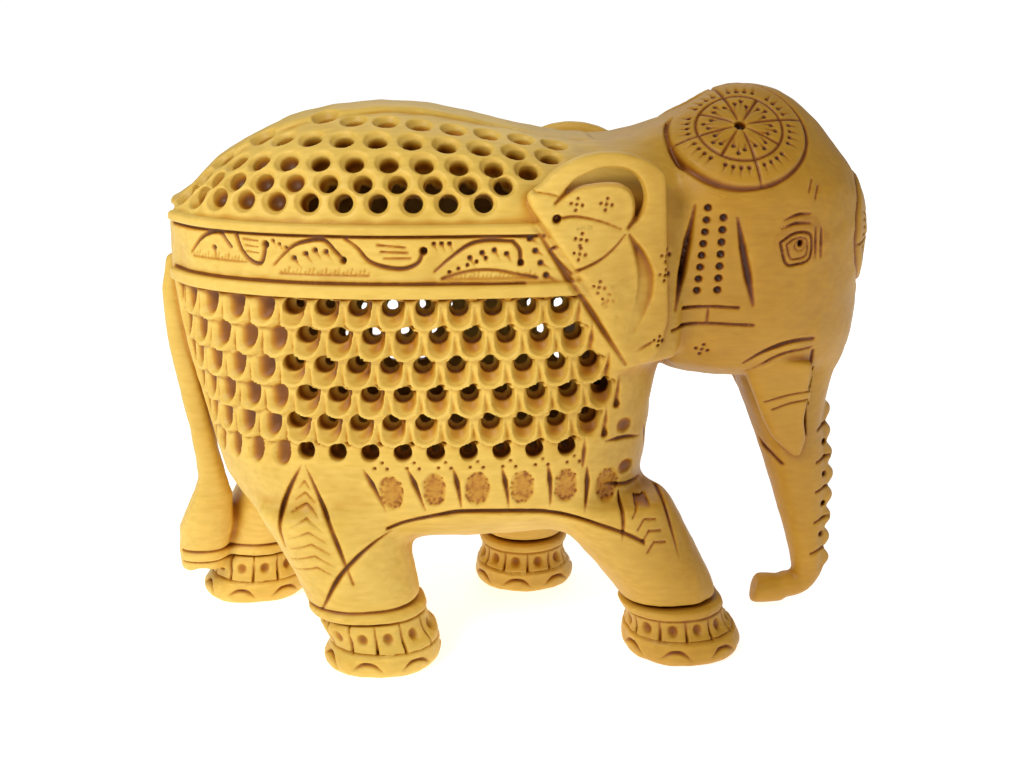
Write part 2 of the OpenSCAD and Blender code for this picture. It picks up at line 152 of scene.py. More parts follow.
def blur(values, sigma):
    """Gaussian blur, sigma in grid steps."""
    reach = max(1, int(math.ceil(2.6 * sigma)))
    weights = np.exp(-0.5 * (np.arange(-reach, reach + 1) / sigma) ** 2)
    weights /= weights.sum()
    for axis in range(3):
        pad = [(0, 0)] * 3
        pad[axis] = (reach, reach)
        padded = np.pad(values, pad, mode="edge")
        total = np.zeros_like(values)
        for k, w in enumerate(weights):
            window = [slice(None)] * 3
            window[axis] = slice(k, k + values.shape[axis])
            total += np.float32(w) * padded[tuple(window)]
        values = total
    return values


def refine(source, target_low, target_step, target_shape):
    """Cubic B-spline resampling of a field onto a finer grid."""
    values = source.values
    for axis in range(3):
        along = target_low[axis] + target_step * np.arange(target_shape[axis])
        place = (along - source.low[axis]) / source.step
        cell = np.floor(place).astype(int)
        t = (place - cell).astype(np.float32)
        weights = [(1 - t) ** 3 / 6, (3 * t ** 3 - 6 * t ** 2 + 4) / 6,
                   (-3 * t ** 3 + 3 * t ** 2 + 3 * t + 1) / 6, t ** 3 / 6]
        total = None
        for k, w in enumerate(weights):
            rows = np.clip(cell + k - 1, 0, values.shape[axis] - 1)
            shape = [1, 1, 1]
            shape[axis] = -1
            piece = np.take(values, rows, axis=axis) * w.reshape(shape)
            total = piece if total is None else total + piece
        values = total
    return values


def node_mesh(node):
    """A CAD node's points in millimetres, and its triangles."""
    mesh = frame["nodes"][node].data
    points = np.empty(len(mesh.vertices) * 3, dtype=np.float32)
    mesh.vertices.foreach_get("co", points)
    mesh.calc_loop_triangles()
    triangles = np.empty(len(mesh.loop_triangles) * 3, dtype=np.int32)
    mesh.loop_triangles.foreach_get("vertices", triangles)
    return points.reshape(-1, 3) / np.float32(MM), triangles.reshape(-1, 3)


def hull_mesh(nodes):
    """The convex hull of several nodes."""
    shape = bmesh.new()
    for node in nodes:
        for p in node_mesh(node)[0]:
            shape.verts.new(p)
    made = bmesh.ops.convex_hull(shape, input=shape.verts)
    unused = [v for v in made["geom_interior"] + made["geom_unused"] if isinstance(v, bmesh.types.BMVert)]
    bmesh.ops.delete(shape, geom=list(set(unused)), context="VERTS")
    bmesh.ops.triangulate(shape, faces=shape.faces)
    shape.verts.index_update()
    points = np.array([v.co[:] for v in shape.verts], dtype=np.float32)
    triangles = np.array([[v.index for v in f.verts] for f in shape.faces], dtype=np.int32)
    shape.free()
    return points, triangles


def distance(points, triangles, step, reach):
    """Signed distance to a closed mesh over the whole box, clamped at reach."""
    field = Field(step)
    grid = vdb.FloatGrid.createLevelSetFromPolygons(
        np.ascontiguousarray((points - field.low) / step, dtype=np.float32),
        triangles=np.ascontiguousarray(triangles, dtype=np.uint32),
        exBandWidth=reach / step, inBandWidth=reach / step)
    values = np.empty(field.shape, dtype=np.float32)
    grid.copyToArray(values)
    field.values = values * np.float32(step)
    return field


def smooth_union(a, b, blend):
    """Both shapes, with a fillet where they meet."""
    overlap = np.maximum(blend - np.abs(a - b), 0)
    return np.minimum(a, b) - overlap * overlap / (4 * blend)


def smooth_cut(a, b, blend):
    """a with b taken out of it."""
    return -smooth_union(-a, b, blend)


# ---- The uncarved body ----

BARREL_PARTS = ("back_lattice", "frieze", "flank_lattice", "hem", "belly", "chest")
BARREL = [n for n in NODES if n.startswith(BARREL_PARTS)]
WALL = 5.6                              # thickness left between the skin and the hollow


def coarse(node, reach=6.0):
    points, triangles = node_mesh(node)
    return distance(points, triangles, COARSE, reach).values


def uncarved_body():
    """The blended outside of the whole figure, hollowed behind the pierced walls."""
    barrel = distance(*hull_mesh(BARREL), COARSE, 9.0)
    solid = barrel.values
    solid = smooth_union(solid, smooth_union(coarse("neck"), coarse("head"), 1.5), 2.5)
    for leg in [n for n in NODES if n.startswith("leg")]:
        solid = smooth_union(solid, coarse(leg), 3.0)
    solid = smooth_union(solid, coarse("trunk"), 2.0)
    solid = blur(solid, 1.0 / COARSE)
    x, _, z = barrel.mesh_axes()
    wall_low, wall_high = box("flank_lattice_right")
    hollow_floor, hollow_front = wall_low[2] - 3.0, wall_high[0] - 2.0
    hollow = np.maximum(np.maximum(barrel.values + WALL, hollow_floor - z), x - hollow_front)
    return Field(COARSE, values=smooth_cut(solid, hollow, 1.5)), barrel


BODY, BARREL_FIELD = uncarved_body()


# ---- Which node owns which wood ----

def label_fields():
    """For every node, how far a place is from being its own: negative inside its share."""
    reach = 8.0
    trim_lead = 1.6
    near = {}
    for node in NODES:
        field = distance(*node_mesh(node), LABEL, reach)
        near[node] = field.values - (trim_lead if node in TRIMS else 0)
    stack = np.stack([near[n] for n in NODES])
    order = np.partition(stack, 1, axis=0)
    first, second = order[0], order[1]
    shares = {}
    for node in NODES:
        others = np.where(near[node] <= first, second, first)
        shares[node] = Field(LABEL, values=(near[node] - others) / 2 - OVERLAP)
    return shares


SHARES = label_fields()


# ---- Carving sheets: how deep the knife goes, on a side of the figure laid out flat ----

class Sheet:
    """Heights over a flat layout of the skin: below zero is cut away, above zero stands proud."""
    STEP = 0.1
    NARROW = 0.8                        # a stroke is cut as a V if half its width is less than this
    DARKEST_DEPTH = 0.4                    # a stroke this deep gets its full darkening: staining and painted shade

    def __init__(self, low, high):
        self.low = np.array(low, dtype=float)
        self.size = np.ceil((np.array(high) - self.low) / self.STEP).astype(int) + 1
        self.depth = np.zeros(self.size, dtype=np.float32)
        self.lift = np.zeros(self.size, dtype=np.float32)
        self.stain_and_shading = np.zeros(self.size, dtype=np.float32)

    def window(self, low, high):
        """The cells inside a rectangle, with their coordinates."""
        start = np.clip(np.floor((np.array(low) - self.low) / self.STEP).astype(int), 0, self.size)
        stop = np.clip(np.ceil((np.array(high) - self.low) / self.STEP).astype(int) + 1, 0, self.size)
        u = self.low[0] + self.STEP * np.arange(start[0], stop[0])
        v = self.low[1] + self.STEP * np.arange(start[1], stop[1])
        return (slice(start[0], stop[0]), slice(start[1], stop[1])), u[:, None], v[None, :]

    def sink(self, cells, profile, depth, stain_and_shading):
        """Cuts a profile that runs from 0 to 1, and darkens it, most where it is deepest: staining and
        painted shade.
        """
        self.depth[cells] = np.maximum(self.depth[cells], profile * depth)
        self.stain_and_shading[cells] = np.maximum(self.stain_and_shading[cells], profile * stain_and_shading)

    def scoop(self, u, v, half_u, half_v, depth, stain_and_shading=0.3):
        """A rounded hollow."""
        cells, us, vs = self.window((u - half_u, v - half_v), (u + half_u, v + half_v))
        profile = np.sqrt(np.maximum(1 - ((us - u) / half_u) ** 2 - ((vs - v) / half_v) ** 2, 0))
        self.sink(cells, profile, depth, stain_and_shading)

    def dot(self, u, v, radius=0.5, depth=0.5):
        self.scoop(u, v, radius * 1.1, radius * 1.1, depth, 0.72)

    def groove(self, path, width=0.6, depth=0.4, stain_and_shading=0.55):
        """A knife stroke along a path; width and depth may each be a list that runs along it."""
        path = smooth_path(path)
        along = np.linspace(0, 1, len(path))
        halves = 0.5 * spread(width, along)
        depths = spread(depth, along)
        for (u, v), half, deep in zip(path, halves, depths):
            half = max(half, self.STEP)
            cells, us, vs = self.window((u - half, v - half), (u + half, v + half))
            away = np.hypot(us - u, vs - v) / half
            profile = np.maximum(1 - away, 0) ** 0.7 if half < self.NARROW else np.maximum(1 - away ** 2, 0)
            self.sink(cells, profile, deep, stain_and_shading * min(1, deep / self.DARKEST_DEPTH))

    def ring(self, u, v, radius, width=0.6, depth=0.4, start=0, stop=360, stain_and_shading=0.55):
        turns = np.radians(np.linspace(start, stop, 49))
        path = [(u + radius * math.cos(t), v + radius * math.sin(t)) for t in turns]
        self.groove(path, width, depth, stain_and_shading)

    def tear(self, u, v, turn, length=1.8, size=0.42):
        """A dot with a tail that thins out."""
        self.dot(u, v, size, 0.6)
        tip = (u + length * math.cos(math.radians(turn)), v + length * math.sin(math.radians(turn)))
        self.groove([(u, v), tip], [size * 1.5, 0.25], [0.45, 0.1])

    def cluster(self, u, v, reach=1.0):
        """Four dots in a diamond and one in the middle."""
        for du, dv in [(0, 0), (-1, 0.2), (1, -0.2), (0.2, 1), (-0.2, -1)]:
            self.dot(u + du * reach, v + dv * reach, 0.33, 0.45)

    def raise_to(self, cells, height):
        self.lift[cells] = height

    def sample(self, heights, u, v):
        """Heights between the cells, by their four neighbours."""
        index = np.clip((np.stack([u, v], axis=1) - self.low) / self.STEP, 0, self.size - 1.001)
        cell = index.astype(np.int64)
        f = index - cell
        i, j = cell[:, 0], cell[:, 1]
        low = heights[i, j] * (1 - f[:, 0]) + heights[i + 1, j] * f[:, 0]
        high = heights[i, j + 1] * (1 - f[:, 0]) + heights[i + 1, j + 1] * f[:, 0]
        return low * (1 - f[:, 1]) + high * f[:, 1]


def polar(radius, turn):
    """The point at a distance from the middle and a turn in degrees."""
    return radius * math.cos(math.radians(turn)), radius * math.sin(math.radians(turn))


def smooth_path(path):
    """Points every tenth of a millimetre or so along a curve through the path."""
    points = np.array(path, dtype=float)
    ends = np.vstack([2 * points[0] - points[1], points, 2 * points[-1] - points[-2]])
    made = []
    for k in range(1, len(ends) - 2):
        p0, p1, p2, p3 = ends[k - 1:k + 3]
        count = max(2, int(np.linalg.norm(p2 - p1) / 0.12))
        for t in np.linspace(0, 1, count, endpoint=False):
            made.append(0.5 * (2 * p1 + (p2 - p0) * t + (2 * p0 - 5 * p1 + 4 * p2 - p3) * t * t
                               + (3 * p1 - p0 - 3 * p2 + p3) * t ** 3))
    made.append(points[-1])
    return made


def spread(value, along):
    """A value, or values spaced evenly from start to end, at each place along a stroke."""
    values = np.atleast_1d(value)
    return np.interp(along, np.linspace(0, 1, len(values)), values)


def engrave(field, sheet, low, high, lay_flat, keep=None):
    """Cuts a sheet's heights into the wood inside a box."""
    part = field.part(low, high)
    values = field.values[part]
    places = np.nonzero(np.abs(values) < ENGRAVED)
    x, y, z = (axis[i] for axis, i in zip(field.axes(part), places))
    if keep is not None:
        kept = keep(x, y, z)
        places = tuple(i[kept] for i in places)
        x, y, z = x[kept], y[kept], z[kept]
    u, v = lay_flat(x, y, z)
    values[places] -= sheet.sample(sheet.lift - sheet.depth, u, v).astype(np.float32)
    stain_and_shading = field.stain_and_shading[part]
    stain_and_shading[places] = np.maximum(stain_and_shading[places], sheet.sample(sheet.stain_and_shading, u, v))


def drill(field, start, end, radius):
    """Takes a round-ended rod out of the wood."""
    start, end = np.array(start), np.array(end)
    part = field.part(np.minimum(start, end) - radius - 1, np.maximum(start, end) + radius + 1)
    x, y, z = (np.asarray(a) for a in field.mesh_axes(part))
    along = end - start
    t = ((x - start[0]) * along[0] + (y - start[1]) * along[1] + (z - start[2]) * along[2]) / (along @ along)
    t = np.clip(t, 0, 1)
    away = np.sqrt((x - start[0] - t * along[0]) ** 2 + (y - start[1] - t * along[1]) ** 2
                   + (z - start[2] - t * along[2]) ** 2) - radius
    field.values[part] = np.maximum(field.values[part], -away.astype(np.float32))


def first_hit(field, origin, direction, reach=24.0):
    """Where a ray first meets the wood."""
    steps = np.arange(0, reach, 0.15)
    points = np.array(origin) + steps[:, None] * np.array(direction)
    inside = field.sample(points) < 0
    return points[np.argmax(inside)] if inside.any() else None


# ---- The barrel laid out flat: along it, and up ----

RAIL_LOW, RAIL_TOP = box("lower_rail_right")[0][2], box("upper_rail_right")[1][2]
FRIEZE_LOW, FRIEZE_TOP = box("frieze_right")[0][2], box("frieze_right")[1][2]
REAR = box("flank_lattice_right")[0][0]
HALF_LENGTH = 50.8                       # of the barrel's plan oval
HALF_WIDTH = -box("flank_lattice_right")[0][1]
MIDDLE = REAR + HALF_LENGTH
OVAL = 2.2                               # squareness of the plan oval


def oval_table():
    """The turn, the length still to go, and the place, along a quarter of the plan oval."""
    turn = np.linspace(0, math.pi / 2, 400)
    radius = (np.cos(turn) ** OVAL + np.sin(turn) ** OVAL) ** (-1 / OVAL)
    x, y = HALF_LENGTH * radius * np.cos(turn), HALF_WIDTH * radius * np.sin(turn)
    steps = np.hypot(np.diff(x), np.diff(y))
    length = np.concatenate([[0], np.cumsum(steps[::-1])])[::-1]
    return turn, length, x, y


TURNS, LENGTHS, OVAL_X, OVAL_Y = oval_table()
RUMP = -LENGTHS[0]                       # the middle of the rump, measured along the barrel


def barrel_flat(x, y, z):
    """Along the barrel from its widest place, and up."""
    along = x - MIDDLE
    turn = np.arctan2(np.abs(y) / HALF_WIDTH, np.maximum(-along, 0) / HALF_LENGTH)
    behind = -np.interp(turn, TURNS, LENGTHS)
    return np.where(along > 0, along, behind), z


def barrel_place(u, side):
    """The place on the plan oval, and the way out of it."""
    if u > 0:
        return np.array([MIDDLE + u, side * HALF_WIDTH]), np.array([0.0, side])
    x = np.interp(-u, LENGTHS[::-1], OVAL_X[::-1])
    y = np.interp(-u, LENGTHS[::-1], OVAL_Y[::-1])
    out = np.array([-(x / HALF_LENGTH) ** (OVAL - 1) / HALF_LENGTH,
                    (y / HALF_WIDTH) ** (OVAL - 1) / HALF_WIDTH])
    out /= np.linalg.norm(out)
    return np.array([MIDDLE - x, side * y]), np.array([out[0], side * out[1]])


ROW_PITCH = 5.1
HOLE_PITCH = 5.65
HOLE_RADIUS = 1.6
FRONT_HOLES = [16.1, 18.3, 21.2, 23.4, 21.3, 17.5]     # front hole of each row, along the barrel
BLIND_FROM = -31.5                                      # behind this the holes are only scoops
STEP_OUT = 1.15                                         # how far a row's lip overhangs the next row
SCALLOP = 0.4                                           # how far a lip dips under each scale


def row_top(row):
    """Height of the line that a row of scales hangs from."""
    return RAIL_LOW - ROW_PITCH * row


def hole_stations(row):
    """Where a row's holes are, from the front one back to the rump."""
    count = int((FRONT_HOLES[row] - RUMP - 3) / HOLE_PITCH)
    return [FRONT_HOLES[row] - HOLE_PITCH * k for k in range(count + 1)]


def row_edge(u, row):
    """The scalloped lower edge of the row above this one."""
    if row == 0:
        return row_top(row) + 0 * u
    return row_top(row) - SCALLOP * np.cos(2 * np.pi * (u - FRONT_HOLES[row - 1]) / HOLE_PITCH)


def carve_rows(sheet):
    """Six rows of scales, each with a hole at its top and a gouged trough under it."""
    last = len(FRONT_HOLES) - 1
    for row, front in enumerate(FRONT_HOLES):
        top, lip = row_top(row), row_top(row + 1)
        cells, u, v = sheet.window((RUMP - 4, lip - 0.5), (front + 4.5, top + 0.5))
        upper, lower = row_edge(u, row), row_edge(u, row + 1)
        recess = STEP_OUT * np.clip((v - lower) / (upper - lower), 0, 1) ** (0.8 if row < last else 2.0)
        slant = front + 2.9 - 0.12 * (top - v)
        fade = np.clip((slant - u) / 0.5, 0, 1)
        sheet.raise_to(cells, np.where((v < upper) & (v >= lower), -recess * fade, sheet.lift[cells]))
        for k, station in enumerate(hole_stations(row)):
            blind = station < BLIND_FROM
            if blind:
                sheet.scoop(station, top - 2.3, 1.9, 2.3, 1.3, 0.28)
            if row < last:
                carve_trough(sheet, station, top - 1.3, lip + 0.3, blind)
                between = station + HOLE_PITCH / 2
                sheet.groove([(between - 0.2, top - 1.4), (between + 0.1, lip + 0.2)],
                             [0.4, 1.6], [0.3, 1.1], 0.42)
            if k == 0:
                sheet.groove([(front + 3.2, top + 0.6), (front + 2.9, lip - 0.2)],
                             [0.3, 1.1, 0.5], [0.2, 0.8, 0.3])


def carve_trough(sheet, station, z_hole, z_end, blind):
    """The gouge mark that runs down from a hole to the lip of its row."""
    half = 2.0
    cells, u, v = sheet.window((station - half, z_end), (station + half, z_hole + 0.6))
    bend = z_hole - 0.9
    down = np.clip((bend - v) / (bend - z_end), 0, 1)
    profile = np.maximum(1 - ((u - station) / half) ** 2 - down ** 2.4, 0) ** 0.5
    sheet.sink(cells, profile, 0.4 if blind else 1.7, 0.3)


def carve_rails(sheet):
    """The two smooth bands round the barrel, and the line cut under each."""
    proud = 0.85
    end = 13.5
    for low, high, reach in [(RAIL_LOW, FRIEZE_LOW, 20.5), (FRIEZE_TOP, RAIL_TOP, end)]:
        cells, u, v = sheet.window((RUMP - 4, low), (reach, high))
        edge = np.clip(np.minimum(v - low, high - v) / 0.35, 0, 1)
        fade = np.clip((reach - u) / 2.5, 0, 1)
        sheet.raise_to(cells, proud * edge ** 0.5 * fade)
    sheet.groove([(RUMP, FRIEZE_TOP - 0.2), (end - 1.6, FRIEZE_TOP - 0.2), (end + 0.6, FRIEZE_TOP - 3),
                  (end + 4.2, FRIEZE_LOW + 1.2)], 0.8, 0.6)
    sheet.groove([(RUMP, FRIEZE_LOW + 0.15), (-20, FRIEZE_LOW + 0.15), (10, FRIEZE_LOW)], 0.6, 0.4)
    sheet.groove([(RUMP, RAIL_LOW - 0.1), (19.6, RAIL_LOW - 0.3)], 0.7, 0.6)


def leaf(sheet, path, strokes, turn):
    """A curved leaf edge with a fan of tears beneath it."""
    sheet.groove(path, [0.5, 1.0, 0.8], [0.4, 0.75, 0.6])
    for u, v in strokes:
        sheet.tear(u, v, turn, 2.2, 0.45)


def carve_frieze(sheet):
    """Leaves and tendrils between the rails."""
    low = FRIEZE_LOW
    sheet.groove([(-38.6, low + 8), (-37.4, low + 5), (-35.5, low + 3.2), (-33.8, low + 3.2),
                  (-33, low + 6)], 0.95, 0.7)
    sheet.dot(-33, low + 6.2, 0.6, 1.2)
    leaf(sheet, [(-31.4, low + 2.9), (-28.4, low + 6), (-25.5, low + 7.1), (-23, low + 7.2),
                 (-21.2, low + 5.6), (-19.8, low + 4.2)],
         [(-26, low + 5), (-24.4, low + 5.6), (-22.6, low + 5.4), (-28, low + 4.2)], -50)
    sheet.dot(-19.7, low + 4, 0.55, 1.1)
    sheet.groove([(-19.4, low + 7.6), (-17.4, low + 6.2), (-15.5, low + 4), (-13, low + 3), (-10, low + 2.7),
                  (-7.6, low + 3.6), (-6.7, low + 5.4)], [0.6, 1.1, 0.9], [0.4, 0.75, 0.65])
    sheet.dot(-6.6, low + 5.6, 0.65, 1.4)
    leaf(sheet, [(-4.8, low + 2.2), (-2, low + 4.6), (1, low + 6.6), (4, low + 7.2), (8, low + 7)],
         [(1, low + 4.4), (3, low + 5.2), (5, low + 5.6), (7, low + 5)], -60)
    sheet.groove([(8, low + 7), (9.1, low + 5.6), (9.3, low + 3.6)], 0.9, 0.7)
    sheet.dot(9.3, low + 3.4, 0.55, 1.1)
    sheet.groove([(-3.6, low + 1), (0.8, low + 2.2), (5, low + 2.3), (9, low + 1.5), (12, low + 0.9)],
                 0.7, 0.5)
    for k in range(5):
        sheet.dot(-2.4 + 1.5 * k, low + 2.1 + 0.55 * k, 0.36, 0.6)
    hatch(sheet, -30.4, -15.5, low + 1.5)
    hatch(sheet, -3.4, 11.5, low + 0.9)
    hatch(sheet, -48, -36.5, low + 3.0)
    for k in range(3):
        sheet.tear(-31.6 + 1.1 * k, low + 6.9 - 0.5 * k, -60, 2.0, 0.3)
        sheet.tear(-4.9 + 1.3 * k, low + 6.8, -65, 2.0, 0.36)
        sheet.groove([(-14 + k * 0.5, low + 6.6 - k * 1.1), (-9.5 + k * 0.4, low + 6.2 - k * 0.9)],
                     0.55, 0.4)
        sheet.groove([(-37 + k * 0.3, low + 6.9 - k), (-34.2, low + 6.7 - k)], 0.5, 0.4)
    leaf(sheet, [(-48.5, low + 3.6), (-45.5, low + 6.6), (-42, low + 7.6), (-39.5, low + 5.4)],
         [(-43, low + 5)], -80)
    for k in range(4):
        sheet.tear(10.8 + 0.9 * k, low + 7.4 - 2.05 * k, -30, 2.4, 0.55)


def hatch(sheet, start, end, v):
    """A fine line with short ticks standing on it."""
    sheet.groove([(start, v), (end, v)], 0.5, 0.3, 0.42)
    for k, u in enumerate(np.arange(start, end, 0.7)):
        sheet.groove([(u, v), (u + 0.35, v + 0.6 + 0.3 * (k % 3))], 0.4, 0.28, 0.42)


HEM_LINE = [(-16, 27.2), (-11.3, 28.9), (-4, 30.4), (0.6, 30.8), (10, 30.4), (17, 29.3), (28.1, 25.7),
            (37.5, 20)]


def carve_hem(sheet, rng):
    """Long slashes with a rough thumb mark between each pair, over an undercut line."""
    slashes = [(-18, -14.7), (-10.3, -7.5), (-2.2, -0.8), (6.2, 7.5), (14.2, 14.8), (21.2, 21)]
    for k, (upper, lower) in enumerate(slashes):
        droop = 1.2 if k == len(slashes) - 1 else 0
        sheet.groove([(upper, 39.3 - droop), (0.5 * (upper + lower) + 0.2, 35 - droop), (lower, 31 - droop)],
                     [0.3, 1.3, 0.8, 0.3], [0.2, 0.9, 0.6, 0.2])
    for k in range(6):
        centre = -13.4 + 7.7 * k
        height = 35.3 - (0.35 * (k - 3) ** 2 if k > 3 else 0) - 0.5 * (k == 0)
        sheet.scoop(centre, height, 2.3, 3.4, 0.5, 0.3)
        for _ in range(110):
            du, dv = rng.uniform(-2, 2), rng.uniform(-3, 3)
            if (du / 2.1) ** 2 + (dv / 3.1) ** 2 < 1:
                size = rng.uniform(0.2, 0.34)
                sheet.scoop(centre + du, height + dv, size, size, rng.uniform(0.55, 0.66), 0.38)
    sheet.groove(HEM_LINE, [0.8, 1.3, 1.3, 1.0, 0.8], [0.5, 1.0, 1.0, 0.8, 0.5])
    for k in range(7):
        u = -15 + 5.6 * k
        for du, dv in [(-1, -0.5), (0.3, 0.5), (1.2, -0.6)]:
            sheet.dot(u + du, 39.9 + dv, 0.32, 0.5)


def barrel_sheet():
    """Everything on the barrel's side, from the hem to the upper rail."""
    sheet = Sheet((RUMP - 4, 12), (40, RAIL_TOP + 1))
    carve_rows(sheet)
    carve_rails(sheet)
    carve_frieze(sheet)
    carve_hem(sheet, np.random.default_rng(7))
    sheet.groove([(11.2, 81.4), (15.5, 74.6), (21.5, 65.6), (27.4, 56.6)], [0.4, 1.5, 1.5, 0.8],
                 [0.2, 0.9, 0.9, 0.4], 0.34)
    return sheet


# ---- The ear, head and legs laid out flat ----

def ear_sheet():
    """Folds, veins and dots; along and up are plain x and z."""
    sheet = Sheet((-6, 50), (26, 98))
    sheet.groove([(4.6, 84.7), (7.8, 87.4), (10.6, 88.4), (13.2, 88.8), (16.0, 88.4), (18.0, 87),
                  (18.9, 84.6), (18.5, 82), (17.1, 80.1)],
                 [0.8, 2.2, 3.4, 3.4, 2.6, 1.0], [0.6, 1.6, 2.1, 2.0, 1.5, 0.7], 0.34)
    sheet.groove([(5.0, 82.1), (7.9, 82.4), (12.0, 81.5), (15.8, 80.0)], [0.9, 0.6, 0.5], [0.7, 0.45, 0.3])
    sheet.dot(4.9, 82.1, 0.75, 1.4)
    sheet.groove([(8.5, 73.3), (12.1, 74.9), (14.6, 76.8), (16.5, 79)], [0.9, 0.7, 0.5], [0.7, 0.5, 0.35])
    sheet.groove([(17.2, 79), (19.2, 75.4), (20.3, 71.9), (20.1, 68.3), (19.0, 65.0), (17.2, 60.5)],
                 [0.6, 2.2, 3.2, 3.0, 2.0, 0.8], [0.5, 1.3, 1.7, 1.6, 1.1, 0.4], 0.3)
    sheet.groove([(1.2, 86.6), (3.4, 86.3), (5.4, 85.7)], 0.6, 0.45)
    sheet.groove([(17.0, 57.6), (19.5, 59.2), (21.5, 60.2)], 0.7, 0.5)
    for u, v in [(8.2, 84.4), (13.2, 84.2), (8.8, 76.2), (9.0, 78.6), (12.2, 70.4), (13.8, 68.2),
                 (15.3, 64.4)]:
        sheet.cluster(u, v, 0.95)
    sheet.dot(13.3, 67.4, 0.6, 0.7)
    sheet.groove([(-0.2, 83.2), (6.3, 74.2), (17.0, 58.8)], [0.4, 0.8, 0.4], [0.2, 0.5, 0.2])
    return sheet


def head_sheet():
    """Eye, brows, cheek pendant, jaw and tusk bands; along and up are plain x and z."""
    sheet = Sheet((18, 0), (68, 102))
    for path, deep in [([(29.2, 82.8), (27.8, 74), (26.2, 65.0)], 0.8),
                       ([(36.2, 81.0), (37.8, 74), (39.9, 65.4)], 0.9)]:
        sheet.groove(path, [0.5, 1.6, 1.9, 0.8], [0.3, deep, deep, 0.3])
    for k in range(8):
        sheet.dot(31.3 - 0.17 * k, 82.4 - 2.05 * k, 0.62, 0.8)
    for k in range(7):
        sheet.dot(33.9 - 0.06 * k, 80.8 - 2.1 * k, 0.66, 0.8)
    sheet.groove([(27.9, 64.9), (33, 65.2), (37.4, 65.0)], 0.7, 0.55)
    sheet.groove([(25.6, 61.5), (32.1, 62.1), (40.3, 61.7)], 0.7, 0.5)
    sheet.groove([(32.2, 64.6), (32.1, 62)], 0.6, 0.4)
    carve_eye(sheet)
    for u, v, reach in [(23.9, 74.9, 0.9), (23.7, 71.7, 0.9), (22.9, 60.4, 0.8), (31.8, 57.0, 1.0)]:
        sheet.cluster(u, v, reach)
    for start, end in [((49.6, 86.6), (49.0, 84.6)), ((50.8, 85.4), (50.2, 83.4))]:
        sheet.groove([start, end], 0.5, 0.35)
    sheet.groove([(39.6, 54.0), (42.5, 56.2), (46.0, 57.6), (49.0, 58.1), (52.2, 58.1)],
                 [0.5, 1.3, 0.9], [0.4, 0.8, 0.5])
    sheet.groove([(40.8, 52.2), (46.1, 55.5), (52.1, 56.4)], [0.4, 0.8, 0.5], [0.3, 0.5, 0.35])
    sheet.groove([(52.6, 55.6), (52.8, 48.0)], 0.8, 0.5)
    sheet.groove([(44.9, 45.4), (49, 47), (53.0, 47.6)], 0.6, 0.45)
    sheet.groove([(46.5, 43.8), (49.5, 45.2), (52.8, 45.8)], 0.6, 0.45)
    sheet.groove([(53.0, 45.2), (53.4, 41), (54.2, 37.5)], [0.6, 1.3, 0.6], [0.6, 1.1, 0.5])
    sheet.groove([(46.0, 36.0), (48.4, 33.4), (50.6, 31.2)], 0.9, 0.6)
    for k, z in enumerate([38.2, 34.8, 31.5, 28.4, 25.3, 22.1, 18.9, 15.8, 12.4]):
        front = 59.4 - 0.06 * abs(20 - z)
        if k % 2:
            sheet.dot(front + 0.4, z, 0.55, 0.6)
        else:
            sheet.groove([(front - 1.4, z - 0.3), (front + 0.8, z + 0.3), (front + 2.6, z + 0.2)], 0.7, 0.5)
    return sheet


def carve_eye(sheet):
    outline = np.array([(44.0, 76.3), (46.6, 77.7), (49.4, 77.5), (50.0, 75.3), (49.6, 73.0),
                        (47.4, 72.3), (45.3, 72.6), (44.0, 76.3)])
    centre = np.array([47.5, 75.2])
    sheet.groove(outline, 0.65, 0.6)
    sheet.groove(centre + 0.66 * (outline - centre), 0.5, 0.45)
    sheet.ring(47.7, 75.6, 0.95, 0.4, 0.35)
    sheet.dot(47.75, 75.9, 0.5, 1.3)
    for path in [[(44.5, 80.1), (47, 80.9), (49.5, 80.9)], [(44.0, 78.7), (46.6, 79.4), (49.5, 79.3)],
                 [(50.6, 78.6), (50.9, 73.2)], [(51.7, 78.4), (52.0, 73.2)]]:
        sheet.groove(path, [0.4, 0.8, 0.5], [0.3, 0.6, 0.3])


def wheel_sheet(radius):
    """A medallion: hub, spokes, tears between them, and a ticked outer ring."""
    sheet = Sheet((-radius - 2, -radius - 2), (radius + 2, radius + 2))
    cells, u, v = sheet.window((-radius - 1, -radius - 1), (radius + 1, radius + 1))
    away = np.hypot(u, v)
    sheet.raise_to(cells, 0.3 * np.clip((radius - away) / 0.5, 0, 1) ** 0.5)
    sheet.ring(0, 0, radius + 0.25, 1.0, 0.5, stain_and_shading=0.3)
    sheet.ring(0, 0, radius + 0.4, [0.4, 1.7, 1.7, 0.4], [0.2, 0.6, 0.6, 0.2], 150, 290, 0.22)
    inner, near, tip = 0.63 * radius, 0.74 * radius, 0.9 * radius
    sheet.ring(0, 0, inner, 0.6, 0.5)
    sheet.dot(0, 0, 0.9, 2.0)
    for k in range(8):
        turn = 45 * k + 12
        sheet.groove([polar(1.2, turn), polar(inner, turn)], [0.5, 0.7], [0.4, 0.55])
        for offset, far in [(-11, 0.42), (11, 0.46), (0, 0.52)]:
            sheet.tear(*polar(far * radius, turn + 22 + offset), turn + 202, 2.2, 0.36)
        if k % 2 == 0:
            sheet.groove([polar(inner, turn), polar(radius, turn)], 0.6, 0.5)
        for tick in range(turn + 9, turn + 45, 9):
            sheet.tear(*polar(near, tick), tick, tip - near, 0.34)
    return sheet


def shield_sheet():
    """The pointed shield on the trunk's root; along and up are y and z."""
    sheet = Sheet((-10, 46), (10, 68))
    for side in (-1, 1):
        sheet.groove([(0, 65), (side * 3.8, 60), (side * 5.4, 56.5), (side * 3.2, 51), (0, 47.5)],
                     [0.7, 1.8, 1.1], [0.5, 1.1, 0.7])
        for k in range(9):
            sheet.dot(side * (1.2 + 0.9 * math.sin(k * 0.39)), 61.8 - 1.45 * k, 0.42, 0.6)
    return sheet


